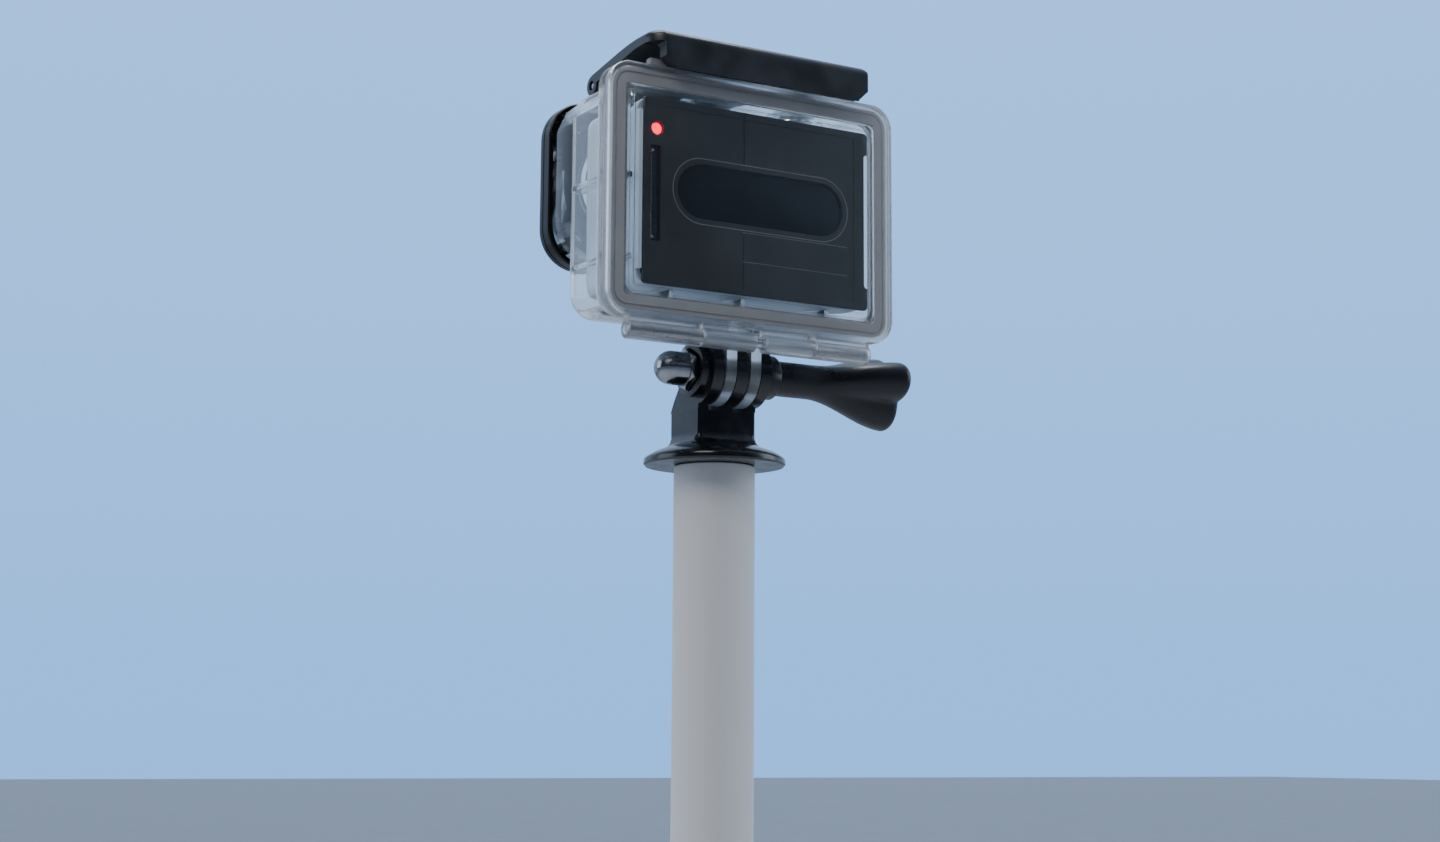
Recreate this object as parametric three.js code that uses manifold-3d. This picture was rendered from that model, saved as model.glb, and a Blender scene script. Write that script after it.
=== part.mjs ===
// Action camera in a clear waterproof housing, on a three-prong tripod adapter.
// Millimetres, +Z up, lens towards -Y, lens side towards +X, thumbscrew towards -X.
// Inside, lengths are counted from the middle of the camera's back face; the finished group is
// then moved so that the middle of its bounding box's base is the origin.
import * as THREE from "three";
import { mergeVertices } from "three/addons/utils/BufferGeometryUtils.js";
import Module from "manifold-3d";

const wasm = await Module();
wasm.setup();

// ---- fits and fineness ----
const GAP = 0.3; // between pieces that touch
const PIN_GAP = 0.3; // radial, round a pin or stem
const CORNER_STEPS = 4; // straight steps in a quarter turn
const COARSE_CORNER_STEPS = 2;
const FINE_CORNER_STEPS = 8;
const ROUND_STEPS = 20; // straight steps round a full circle
const SMALL_ROUND_STEPS = 10;
const OVERRUN = 1; // how far a cutting tool runs past the face it cuts
const SLIVER = 0.01; // keeps a full end arc from closing on a single point

// ---- camera ----
const CAMERA_WIDTH = 59;
const CAMERA_HEIGHT = 41;
const CAMERA_DEPTH = 21;
const CAMERA_CORNER = 3;
const CAMERA_WALL = 1.2;
const CAMERA_SIDE = CAMERA_WIDTH / 2;
const CAMERA_TOP = CAMERA_HEIGHT / 2;
const CAMERA_FRONT = -CAMERA_DEPTH;
const COVER_THICK = 1.3;
const COVER_REAR = CAMERA_FRONT + COVER_THICK;
const PANEL_THICK = 1.0;
const PANEL_CORNER = 2;
const PANEL_MARGIN = 1.25; // the frame shows beside the panel by this much
const PANEL_LENS_EDGE = CAMERA_SIDE - PANEL_MARGIN;
const TAB_HEIGHT = 5;
const TAB_REACH = 1.0;
const LIGHT_FROM_SIDE = 4.5;
const LIGHT_FROM_TOP = 6.8;
const LIGHT_X = CAMERA_SIDE - LIGHT_FROM_SIDE;
const LIGHT_Z = CAMERA_TOP - LIGHT_FROM_TOP;
const LIGHT_RADIUS = 1.5;
const SLOT_FROM_SIDE = 4.1;
const SLOT_X = CAMERA_SIDE - SLOT_FROM_SIDE;
const SLOT_WIDTH = 2.6;
const SLOT_FROM_BOTTOM = 9.4;
const SLOT_FROM_LIGHT = 3.8;
const SLOT_BOTTOM = -CAMERA_TOP + SLOT_FROM_BOTTOM;
const SLOT_TOP = LIGHT_Z - SLOT_FROM_LIGHT;
const RECESS_HEIGHT = 12.2;
const RECESS_DEPTH = 0.6;
const RECESS_FROM_SIDE = 6.7;
const RECESS_FROM_SLOT = 4.2;
const RECESS_LEFT = -CAMERA_SIDE + RECESS_FROM_SIDE;
const RECESS_RIGHT = SLOT_X - SLOT_WIDTH / 2 - RECESS_FROM_SLOT;
const RECESS_X = (RECESS_LEFT + RECESS_RIGHT) / 2;
const RECESS_Z = 1.2;
const LENS_RADIUS = 10.5;
const LENS_FROM_SIDE = 3.7; // from the camera's side to the barrel
const LENS_FROM_TOP = 2.0;
const LENS_X = CAMERA_SIDE - LENS_RADIUS - LENS_FROM_SIDE;
const LENS_Z = CAMERA_TOP - LENS_RADIUS - LENS_FROM_TOP;
const LENS_REACH = 8.8;
const LENS_HEAD_SINK = 2.0; // how far the wide barrel goes into the camera
const LENS_TUBE_RADIUS = 7.5;
const LENS_BORE_DEPTH = 5.5;
const ELEMENT_RADIUS = 7.2;
const ELEMENT_GAP = 0.4;
const ELEMENT_EDGE = 1.5;
const ELEMENT_BULGE = 2.4;
const DISPLAY_FROM_SIDE = 10.5;
const DISPLAY_FROM_TOP = 11.5;
const DISPLAY_X = -CAMERA_SIDE + DISPLAY_FROM_SIDE;
const DISPLAY_Z = CAMERA_TOP - DISPLAY_FROM_TOP;
const DISPLAY_WIDTH = 13;
const DISPLAY_HEIGHT = 11;
const DISPLAY_CORNER = 0.8;
const SHUTTER_BUTTON_STAND = 0.4;
const MODE_BUTTON_SINK = 0.4;
const CAMERA_BUTTON_RADIUS = 3.6;
const SHUTTER_BUTTON_DEEP = 1.4;
const MODE_BUTTON_DEEP = 0.9;

// ---- camera insides ----
const BOARD_THICK = 1.0;
const BOARD_REAR = -7.0;
const BOARD_FRONT = BOARD_REAR - BOARD_THICK;
const SENSOR_BOARD_SIDE = 20;
const SENSOR_BOARD_THICK = 1.2;
const SENSOR_FRONT = BOARD_FRONT - GAP - SENSOR_BOARD_THICK;
const SENSOR_ROOM = 0.4; // between the sensor board and the lens
const SHIELD_HEIGHT = 30;
const SHIELD_INSET = 0.35; // the shield is this much shorter than the recess at each end
const BATTERY_LENS_ROOM = 3.8;
const BATTERY_TOP_ROOM = 1.6; // under the shutter button
const BATTERY_FRONT_ROOM = 1.0; // behind the mode button
const BATTERY_CORNER = 1.5;

// ---- housing ----
const WALL = 2.4;
const ROOM_LEFT = 0.9;
const ROOM_RIGHT = 3.3;
const ROOM_BELOW = 2.8;
const ROOM_ABOVE = 2.3;
const ROOM_AHEAD = 0.6;
const BODY_LEFT = -CAMERA_SIDE - ROOM_LEFT - WALL;
const BODY_RIGHT = CAMERA_SIDE + ROOM_RIGHT + WALL;
const BODY_BOTTOM = -CAMERA_TOP - ROOM_BELOW - WALL;
const BODY_TOP = CAMERA_TOP + ROOM_ABOVE + WALL;
const BODY_FRONT = CAMERA_FRONT - ROOM_AHEAD - WALL;
const BODY_CORNER = 6;
const BODY_FRONT_CORNER = 7;
const BODY_FRONT_EDGE = 4;
const CAVITY_FRONT_CORNER = 1.5;
const CAVITY_TOP = BODY_TOP - WALL;
const CAVITY_FRONT = BODY_FRONT + WALL;
const LIP_LEFT = 2.4; // how far the flange stands out from the body
const LIP_RIGHT = 2.6;
const LIP_BELOW = 2.4;
const LIP_ABOVE = 1.9;
const FLANGE_LEFT = BODY_LEFT - LIP_LEFT;
const FLANGE_RIGHT = BODY_RIGHT + LIP_RIGHT;
const FLANGE_BOTTOM = BODY_BOTTOM - LIP_BELOW;
const FLANGE_TOP = BODY_TOP + LIP_ABOVE;
const FLANGE_CORNER = 5.5;
const FLANGE_THICK = 2.6;
const RIB_THICK = 1.2;
const SIDE_RIB_HEIGHTS = [3.5, -14.5];
const FLOOR_RIB_PLACES = [-20, 2, 20];

// ---- back door ----
const DOOR_THICK = 2.4;
const DOOR_INNER = GAP;
const DOOR_OUTER = DOOR_INNER + DOOR_THICK;
const WINDOW_INSET = 5.2;
const WINDOW_STEP = 0.5;
const SEAL_INSET = 1.5;
const SEAL_WIDTH = 3;
const SEAL_THICK = 0.9;

// ---- hinge ----
const BARREL_RADIUS = 2.1;
const HINGE_PIN_RADIUS = 1.0;
const PIN_HOLE_RADIUS = HINGE_PIN_RADIUS + PIN_GAP;
const BARREL_DROP = 0.8; // from the flange down to the barrels
const HINGE_Y = (DOOR_INNER + DOOR_OUTER) / 2;
const HINGE_Z = FLANGE_BOTTOM - BARREL_DROP - BARREL_RADIUS;
const BODY_KNUCKLES = [[1.2, 14.2], [-14.0, -1.4]];
const BARREL_FROM_RIGHT = 5.2;
const BARREL_FROM_LEFT = 6.7;
const DOOR_BARRELS = [
  [BODY_KNUCKLES[0][1] + GAP, FLANGE_RIGHT - BARREL_FROM_RIGHT],
  [FLANGE_LEFT + BARREL_FROM_LEFT, BODY_KNUCKLES[1][0] - GAP],
];
const KNUCKLE_WEB_DROP = 1.5;
const KNUCKLE_WEB_SINK = 0.3;

// ---- lens block, port, bezel ----
const PORT_ROOM = 1.2; // radial, round the lens barrel
const PORT_BORE_RADIUS = LENS_RADIUS + PORT_ROOM;
const GLASS_MARGIN = 1.5; // past the bore on each side
const GLASS_SIDE = 2 * (PORT_BORE_RADIUS + GLASS_MARGIN);
const GLASS_CORNER = 5.7;
const GLASS_THICK = 3.5;
const GLASS_PROUD = 1.0; // of the bezel's face
const BLOCK_MARGIN = 5.3; // past the glass on each side
const BLOCK_SIDE = GLASS_SIDE + 2 * BLOCK_MARGIN;
const BLOCK_CORNER = 8.5;
const BLOCK_REACH = 7.7; // ahead of the body's front
const BLOCK_FACE = BODY_FRONT - BLOCK_REACH;
const BLOCK_FACE_THICK = 2.7;
const BEZEL_OVERLAP = 0.8;
const BEZEL_SIDE = BLOCK_SIDE + 2 * BEZEL_OVERLAP;
const BEZEL_CORNER = 9;
const BEZEL_THICK = 5.5;
const BEZEL_FACE = BLOCK_FACE - GAP - BEZEL_THICK;
const GLASS_FACE = BEZEL_FACE - GLASS_PROUD;
const SCREW_FROM_EDGE = 4.3; // of the lens block
const SCREW_OFFSET = BLOCK_SIDE / 2 - SCREW_FROM_EDGE;
const SCREW_HEAD_RADIUS = 1.7;
const SCREW_HEAD_THICK = 1.4;
const SCREW_SHANK_RADIUS = 0.9;
const SCREW_LENGTH = 8;
const SCREW_POST_WALL = 1.1;

// ---- plungers ----
const PLUNGER_TRAVEL = 1.2;
const PLUNGER_LOST_MOTION = 0.9; // from a plunger's tip to the camera's button
const PLUNGER_RADIUS = 5;
const PLUNGER_THICK = 2;
const COLLAR_WALL = 1.2;
const COLLAR_HEIGHT = 2.4;
const STEM_RADIUS = 1.2;
const RING_BORE_RADIUS = 2.5;
const RING_BORE_DEPTH = 1.8;
const RING_SECTION_STEPS = 8;
const CLIP_RADIUS = 2.3;
const CLIP_THICK = 0.4;
const CLIP_SINK = 0.1; // how far the clip sits inside the wall's inner face
const CLIP_BORE_GAP = 0.05;
const SPRING_RADIUS = 3.4;
const SPRING_WIRE = 0.25;
const SPRING_HEIGHT = 1.9;
const SPRING_TURNS = 2;
const SHUTTER_FROM_SIDE = 12;
const SHUTTER_FROM_FRONT = 9;
const SHUTTER_X = -CAMERA_SIDE + SHUTTER_FROM_SIDE;
const SHUTTER_Y = CAMERA_FRONT + SHUTTER_FROM_FRONT;
const MODE_FROM_SIDE = 9.5;
const MODE_FROM_DISPLAY = 9.5;
const MODE_X = -CAMERA_SIDE + MODE_FROM_SIDE;
const MODE_Z = DISPLAY_Z - DISPLAY_HEIGHT / 2 - MODE_FROM_DISPLAY;

// ---- latch ----
const LATCH_FROM_LEFT = 7.9; // of the flange
const LATCH_FROM_RIGHT = 9.7;
const LATCH_LEFT = FLANGE_LEFT + LATCH_FROM_LEFT;
const LATCH_RIGHT = FLANGE_RIGHT - LATCH_FROM_RIGHT;
const ARM_FROM_PLUNGER = 11.3;
const ARM_LEFT = SHUTTER_X + ARM_FROM_PLUNGER;
const LATCH_PIVOT_AHEAD = 0.6;
const LATCH_PIVOT_ABOVE = 2.7; // above the lens block
const LATCH_PIVOT_Y = BODY_FRONT - LATCH_PIVOT_AHEAD;
const LATCH_PIVOT_Z = LENS_Z + BLOCK_SIDE / 2 + LATCH_PIVOT_ABOVE;
const LATCH_BARREL_RADIUS = 2.3;
const LATCH_PIN_RADIUS = 0.8;
const LATCH_BEHIND_DOOR = 1.8;
const LATCH_REAR = DOOR_OUTER + LATCH_BEHIND_DOOR;
const LATCH_RISE = 5.8; // from the pivot to the peak
const LATCH_PEAK = LATCH_PIVOT_Z + LATCH_RISE;
const LATCH_ROUND = 2.3;
const LATCH_CHAMFER = 3.2;
const LATCH_HOOK_DROP = 0.9;
const LATCH_HOOK_LAP = 1.5; // how far the hook's inner wall stands over the door
const LATCH_PLATE = 3.9;
const LATCH_FALL = 0.5; // the plate's top falls by this much at the bar's front
const BAR_FRONT = -4.5;
const LUG_FROM_ARM = 9.2;
const LUG_FROM_RIGHT = 8.1;
const LUG_PLACES = [ARM_LEFT + LUG_FROM_ARM, LATCH_RIGHT - LUG_FROM_RIGHT];
const LUG_WIDTH = 4;
const LUG_RADIUS = 2.0;
const LUG_FOOT_AHEAD = 3;
const LUG_FOOT_BEHIND = 4;
const LUG_CLEAR_RADIUS = 4.6;
const CATCH_RISE = 2.5; // the ridge on the flange that the hook closes over
const CATCH_FRONT = -2.2;
const CATCH_REAR = -0.2;
const CATCH_INSET = 1.6; // from the latch's ends

// ---- tilting mount ----
const PIVOT_X = 1.2;
const PIVOT_Y = -9.6;
const PIVOT_DROP = 3.0; // from the hinge barrels down to the pivot
const PIVOT_Z = HINGE_Z - BARREL_RADIUS - PIVOT_DROP;
const PRONG_PITCH = 3.1;
const FINGER_THICK = 2.6;
const FINGER_RADIUS = 7.5;
const FINGER_PLACES = [-PRONG_PITCH, PRONG_PITCH];
const PRONG_RADIUS = 7.35;
const STACK_WIDTH = 14.7;
const SLOT_FLOOR = 8.6; // below the pivot
const BLOCK_REAR = 0.3; // behind the pivot
const BLOCK_FRONT = 11.9; // ahead of the pivot
const BLOCK_SHOULDER = 8.5; // below the pivot
const BOLT_RADIUS = 2.4;
const BOLT_HOLE_RADIUS = BOLT_RADIUS + PIN_GAP;
const BOSS_RADIUS = 6;
const BOSS_REACH = 2.2;
const NUT_FLATS = 8;
const NUT_HEX_LENGTH = 3.9;
const NUT_DOME_RADIUS = 3.75;
const NUT_TIP = 17.9; // from the middle of the prongs
const NUT_BORE_DEPTH = 8;
const NUT_POCKET_FLOOR = 6.9; // from the middle of the prongs

// ---- thumbscrew ----
const KNOB_END = 44.4; // from the middle of the prongs
const KNOB_COLLAR_RADIUS = 4.95;
const KNOB_COLLAR_LENGTH = 3.9;
const KNOB_COLLAR_STEP = 0.6;
const KNOB_WAIST_RADIUS = 3.9;
const KNOB_LOBE_RADIUS = 9.6;
const KNOB_VALLEY_RADIUS = 5.4;
const KNOB_LOBES = 3;
const KNOB_TURN = 17; // degrees, from the door side up to the first lobe
const KNOB_FLARE_START = 21;
const KNOB_FULL = 43.5;
const KNOB_STATIONS = 8;
const KNOB_ROUND_STEPS = 30;
const KNOB_BORE_DEPTH = 14;
const KNOB_EDGE = 2.2;
const KNOB_EDGE_BREAK = 0.66; // the end's round is drawn as two slopes that meet here

// ---- adapter foot ----
const FOOT_DROP = 20.2; // from the pivot down to the foot's underside
const FOOT_BOTTOM = PIVOT_Z - FOOT_DROP;
const FOOT_RADIUS = 15.8;
const FOOT_RIM = 3.15;
const FOOT_CHAMFER = 0.4;
const FOOT_RIM_WIDTH = 2.0;
const FOOT_DISH_WIDTH = 3.2;
const FOOT_DISH = 0.8;
const FOOT_AHEAD = 5.0; // of the pivot
const FOOT_Y = PIVOT_Y - FOOT_AHEAD;
const INSERT_RADIUS = 4.5;
const INSERT_HOLE_RADIUS = 3.0;
const INSERT_LENGTH = 7.4;
const INSERT_CAP = 1.0;

// ---- solids ----
function toSolid(geometry) {
  const bare = geometry.clone();
  bare.deleteAttribute("normal");
  bare.deleteAttribute("uv");
  const merged = mergeVertices(bare, 1e-4);
  const mesh = new wasm.Mesh({
    numProp: 3,
    vertProperties: new Float32Array(merged.attributes.position.array),
    triVerts: new Uint32Array(merged.index.array),
  });
  return new wasm.Manifold(mesh);
}

function toGeometry(solid) {
  const mesh = solid.getMesh();
  const geometry = new THREE.BufferGeometry();
  geometry.setAttribute("position", new THREE.BufferAttribute(mesh.vertProperties, 3));
  geometry.setIndex(new THREE.BufferAttribute(mesh.triVerts, 1));
  const flat = geometry.toNonIndexed();
  flat.computeVertexNormals();
  return flat;
}

function join(solids) {
  return solids.reduce((whole, next) => whole.add(next));
}

function piece(name, solid, material) {
  const mesh = new THREE.Mesh(toGeometry(solid), material);
  mesh.name = name;
  return mesh;
}

// ---- outlines ----
function roundedRectangle(width, height, radius, x = 0, y = 0) {
  const shape = new THREE.Shape();
  const right = x + width / 2;
  const left = x - width / 2;
  const top = y + height / 2;
  const bottom = y - height / 2;
  shape.moveTo(left + radius, bottom);
  shape.lineTo(right - radius, bottom);
  shape.absarc(right - radius, bottom + radius, radius, -Math.PI / 2, 0, false);
  shape.lineTo(right, top - radius);
  shape.absarc(right - radius, top - radius, radius, 0, Math.PI / 2, false);
  shape.lineTo(left + radius, top);
  shape.absarc(left + radius, top - radius, radius, Math.PI / 2, Math.PI, false);
  shape.lineTo(left, bottom + radius);
  shape.absarc(left + radius, bottom + radius, radius, Math.PI, 1.5 * Math.PI, false);
  return shape;
}

function polygon(points) {
  return new THREE.Shape(points.map(([a, b]) => new THREE.Vector2(a, b)));
}

function extruded(shape, length, steps) {
  return new THREE.ExtrudeGeometry(shape, { depth: length, bevelEnabled: false, curveSegments: steps });
}

// An outline drawn in X and Z, carried along Y.
function alongY(shape, from, to, steps = CORNER_STEPS) {
  const geometry = extruded(shape, to - from, steps);
  geometry.rotateX(Math.PI / 2);
  geometry.translate(0, to, 0);
  return toSolid(geometry);
}

// An outline drawn in Y and Z, carried along X.
function alongX(shape, from, to, steps = CORNER_STEPS) {
  const geometry = extruded(shape, to - from, steps);
  geometry.applyMatrix4(
    new THREE.Matrix4().makeBasis(
      new THREE.Vector3(0, 1, 0),
      new THREE.Vector3(0, 0, 1),
      new THREE.Vector3(1, 0, 0),
    ),
  );
  geometry.translate(from, 0, 0);
  return toSolid(geometry);
}

// An outline drawn in X and Y, carried along Z.
function alongZ(shape, from, to, steps = CORNER_STEPS) {
  const geometry = extruded(shape, to - from, steps);
  geometry.translate(0, 0, from);
  return toSolid(geometry);
}

function block(x0, x1, y0, y1, z0, z1) {
  const geometry = new THREE.BoxGeometry(x1 - x0, y1 - y0, z1 - z0);
  geometry.translate((x0 + x1) / 2, (y0 + y1) / 2, (z0 + z1) / 2);
  return toSolid(geometry);
}

function cylinder(radius, length, steps) {
  return new THREE.CylinderGeometry(radius, radius, length, steps);
}

function rodX(radius, from, to, y, z, steps = ROUND_STEPS) {
  const geometry = cylinder(radius, to - from, steps);
  geometry.rotateZ(Math.PI / 2);
  geometry.translate((from + to) / 2, y, z);
  return toSolid(geometry);
}

function rodY(radius, from, to, x, z, steps = ROUND_STEPS) {
  const geometry = cylinder(radius, to - from, steps);
  geometry.translate(x, (from + to) / 2, z);
  return toSolid(geometry);
}

function rodZ(radius, from, to, x, y, steps = ROUND_STEPS) {
  const geometry = cylinder(radius, to - from, steps);
  geometry.rotateX(Math.PI / 2);
  geometry.translate(x, y, (from + to) / 2);
  return toSolid(geometry);
}

// ---- materials ----
function material(colour, roughness, metalness = 0, opacity = 1) {
  return new THREE.MeshStandardMaterial({
    color: colour,
    roughness,
    metalness,
    opacity,
    transparent: opacity < 1,
  });
}

const clearPlastic = () => material(0xdfe8ee, 0.12, 0, 0.3);
const blackGlossPlastic = () => material(0x15171b, 0.22);
const blackSatinPlastic = () => material(0x1f222a, 0.45);
const panelPlastic = () => material(0x282b30, 0.5);
const silverPlastic = () => material(0xb9bec4, 0.32, 0.2);
const sealRubber = () => material(0xa6a9ae, 0.7);
const darkRubber = () => material(0x22242a, 0.8);
const steel = () => material(0xb8bcc0, 0.28, 1);
const chrome = () => material(0xdadde0, 0.12, 1);
const brass = () => material(0xb08d4a, 0.35, 1);
const boardLaminate = () => material(0x1e4a34, 0.6);
const batteryWrap = () => material(0x33363c, 0.55);
const lensGlass = () => material(0x9fb4c4, 0.04, 0, 0.4);
const displayGlass = () => material(0x5a6168, 0.15);
const lightPlastic = () => {
  const lit = material(0xff2a1e, 0.3);
  lit.emissive.set(0xff1a10);
  return lit;
};

// ---- camera ----
function cameraOutline(inset = 0) {
  return roundedRectangle(
    CAMERA_WIDTH - 2 * inset,
    CAMERA_HEIGHT - 2 * inset,
    CAMERA_CORNER - inset,
  );
}

function displayOutline(grow = 0) {
  return roundedRectangle(
    DISPLAY_WIDTH + 2 * grow,
    DISPLAY_HEIGHT + 2 * grow,
    DISPLAY_CORNER + grow,
    DISPLAY_X,
    DISPLAY_Z,
  );
}

function cameraFrontCover() {
  const plate = alongY(cameraOutline(), CAMERA_FRONT, COVER_REAR);
  const lensHole = rodY(LENS_RADIUS + GAP, CAMERA_FRONT - OVERRUN, COVER_REAR + OVERRUN, LENS_X, LENS_Z);
  const displayHole = alongY(
    displayOutline(GAP),
    CAMERA_FRONT - OVERRUN,
    COVER_REAR + OVERRUN,
    COARSE_CORNER_STEPS,
  );
  const buttonHole = rodY(
    CAMERA_BUTTON_RADIUS + GAP,
    CAMERA_FRONT - OVERRUN,
    COVER_REAR + OVERRUN,
    MODE_X,
    MODE_Z,
  );
  return piece(
    "camera_front_cover",
    plate.subtract(lensHole).subtract(displayHole).subtract(buttonHole),
    silverPlastic(),
  );
}

function cameraFrame() {
  const from = COVER_REAR + GAP;
  const to = -PANEL_THICK - GAP;
  const ring = alongY(cameraOutline(), from, to).subtract(
    alongY(cameraOutline(CAMERA_WALL), from - OVERRUN, to + OVERRUN),
  );
  const edgeBand = block(
    PANEL_LENS_EDGE + GAP,
    CAMERA_SIDE,
    to - OVERRUN,
    0,
    -CAMERA_TOP + CAMERA_CORNER,
    CAMERA_TOP - CAMERA_CORNER,
  );
  const buttonHole = rodZ(
    CAMERA_BUTTON_RADIUS + GAP,
    CAMERA_TOP - CAMERA_WALL - OVERRUN,
    CAMERA_TOP + OVERRUN,
    SHUTTER_X,
    SHUTTER_Y,
  );
  return piece("camera_frame", ring.add(edgeBand).subtract(buttonHole), silverPlastic());
}

function cameraBackPanel() {
  const left = -CAMERA_SIDE;
  const width = PANEL_LENS_EDGE - left;
  const outline = roundedRectangle(width, CAMERA_HEIGHT, PANEL_CORNER, left + width / 2, 0);
  const plate = alongY(outline, -PANEL_THICK, 0);
  const notch = block(
    left - OVERRUN,
    left + TAB_REACH,
    -PANEL_THICK - OVERRUN,
    OVERRUN,
    -CAMERA_TOP + TAB_HEIGHT,
    CAMERA_TOP - TAB_HEIGHT,
  );
  const recessEnd = RECESS_HEIGHT / 2 - SLIVER;
  const recess = alongY(
    roundedRectangle(RECESS_RIGHT - RECESS_LEFT, RECESS_HEIGHT, recessEnd, RECESS_X, RECESS_Z),
    -RECESS_DEPTH,
    OVERRUN,
    FINE_CORNER_STEPS,
  );
  const slot = block(
    SLOT_X - SLOT_WIDTH / 2,
    SLOT_X + SLOT_WIDTH / 2,
    -PANEL_THICK - OVERRUN,
    OVERRUN,
    SLOT_BOTTOM,
    SLOT_TOP,
  );
  const lightHole = rodY(LIGHT_RADIUS, -PANEL_THICK - OVERRUN, OVERRUN, LIGHT_X, LIGHT_Z, SMALL_ROUND_STEPS);
  return piece(
    "camera_back_panel",
    plate.subtract(notch).subtract(recess).subtract(slot).subtract(lightHole),
    panelPlastic(),
  );
}

function rearLight() {
  const radius = LIGHT_RADIUS - GAP / 2;
  const rod = rodY(radius, BOARD_REAR + GAP, -GAP / 2, LIGHT_X, LIGHT_Z, SMALL_ROUND_STEPS);
  return piece("record_light", rod, lightPlastic());
}

function busConnector() {
  const body = block(
    SLOT_X - SLOT_WIDTH / 2 + GAP,
    SLOT_X + SLOT_WIDTH / 2 - GAP,
    BOARD_REAR + GAP,
    -PANEL_THICK + GAP,
    SLOT_BOTTOM + GAP,
    SLOT_TOP - GAP,
  );
  return piece("bus_connector", body, blackSatinPlastic());
}

function lensBarrel() {
  const front = CAMERA_FRONT - LENS_REACH;
  const headRear = CAMERA_FRONT + LENS_HEAD_SINK;
  const boreRadius = ELEMENT_RADIUS + ELEMENT_GAP;
  const head = rodY(LENS_RADIUS, front, headRear, LENS_X, LENS_Z);
  const tube = rodY(LENS_TUBE_RADIUS, headRear - OVERRUN, SENSOR_FRONT - SENSOR_ROOM, LENS_X, LENS_Z);
  const bore = rodY(boreRadius, front - OVERRUN, front + LENS_BORE_DEPTH, LENS_X, LENS_Z);
  return piece("lens_barrel", head.add(tube).subtract(bore), blackSatinPlastic());
}

function lensElement() {
  const back = CAMERA_FRONT - LENS_REACH + LENS_BORE_DEPTH - GAP;
  const edge = back - ELEMENT_EDGE;
  const profile = [new THREE.Vector2(0, 0), new THREE.Vector2(ELEMENT_RADIUS, 0)];
  for (let step = 0; step <= CORNER_STEPS; step += 1) {
    const across = 1 - step / CORNER_STEPS;
    const rise = back - edge + ELEMENT_BULGE * (1 - across * across);
    profile.push(new THREE.Vector2(ELEMENT_RADIUS * across, rise));
  }
  const dome = new THREE.LatheGeometry(profile, ROUND_STEPS);
  dome.rotateX(Math.PI);
  dome.translate(LENS_X, back, LENS_Z);
  const solid = toSolid(dome);
  return piece("lens_element", solid, lensGlass());
}

function statusDisplay() {
  const pane = alongY(displayOutline(), CAMERA_FRONT, COVER_REAR - GAP, COARSE_CORNER_STEPS);
  return piece("status_display", pane, displayGlass());
}

function cameraShutterButton() {
  const top = CAMERA_TOP + SHUTTER_BUTTON_STAND;
  const cap = rodZ(CAMERA_BUTTON_RADIUS, top - SHUTTER_BUTTON_DEEP, top, SHUTTER_X, SHUTTER_Y);
  return piece("camera_shutter_button", cap, silverPlastic());
}

function cameraModeButton() {
  const front = CAMERA_FRONT + MODE_BUTTON_SINK;
  const cap = rodY(CAMERA_BUTTON_RADIUS, front, front + MODE_BUTTON_DEEP, MODE_X, MODE_Z);
  return piece("camera_mode_button", cap, silverPlastic());
}

function mainBoard() {
  const halfWidth = CAMERA_SIDE - CAMERA_WALL - GAP;
  const halfHeight = CAMERA_TOP - CAMERA_WALL - GAP;
  const board = alongY(
    roundedRectangle(2 * halfWidth, 2 * halfHeight, CAMERA_CORNER - CAMERA_WALL),
    BOARD_FRONT,
    BOARD_REAR,
    COARSE_CORNER_STEPS,
  );
  return piece("main_board", board, boardLaminate());
}

function sensorBoard() {
  const half = SENSOR_BOARD_SIDE / 2;
  const board = block(
    LENS_X - half,
    LENS_X + half,
    SENSOR_FRONT,
    BOARD_FRONT - GAP,
    LENS_Z - half,
    LENS_Z + half,
  );
  return piece("sensor_board", board, boardLaminate());
}

function processorShield() {
  const can = block(
    RECESS_LEFT + SHIELD_INSET,
    RECESS_RIGHT - SHIELD_INSET,
    BOARD_REAR + GAP,
    -PANEL_THICK - GAP,
    -SHIELD_HEIGHT / 2,
    SHIELD_HEIGHT / 2,
  );
  return piece("processor_shield", can, steel());
}

function battery() {
  const left = -CAMERA_SIDE + CAMERA_WALL + GAP;
  const bottom = -CAMERA_TOP + CAMERA_WALL + GAP;
  const length = LENS_X - LENS_TUBE_RADIUS - BATTERY_LENS_ROOM - left;
  const top = CAMERA_TOP + SHUTTER_BUTTON_STAND - SHUTTER_BUTTON_DEEP - BATTERY_TOP_ROOM;
  const height = top - bottom;
  const front = CAMERA_FRONT + MODE_BUTTON_SINK + MODE_BUTTON_DEEP + BATTERY_FRONT_ROOM;
  const pack = alongY(
    roundedRectangle(length, height, BATTERY_CORNER, left + length / 2, bottom + height / 2),
    front,
    BOARD_FRONT - GAP,
    COARSE_CORNER_STEPS,
  );
  return piece("battery", pack, batteryWrap());
}

// ---- housing ----
function flangeOutline(inset = 0) {
  return roundedRectangle(
    FLANGE_RIGHT - FLANGE_LEFT - 2 * inset,
    FLANGE_TOP - FLANGE_BOTTOM - 2 * inset,
    FLANGE_CORNER - inset,
    (FLANGE_LEFT + FLANGE_RIGHT) / 2,
    (FLANGE_BOTTOM + FLANGE_TOP) / 2,
  );
}

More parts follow.
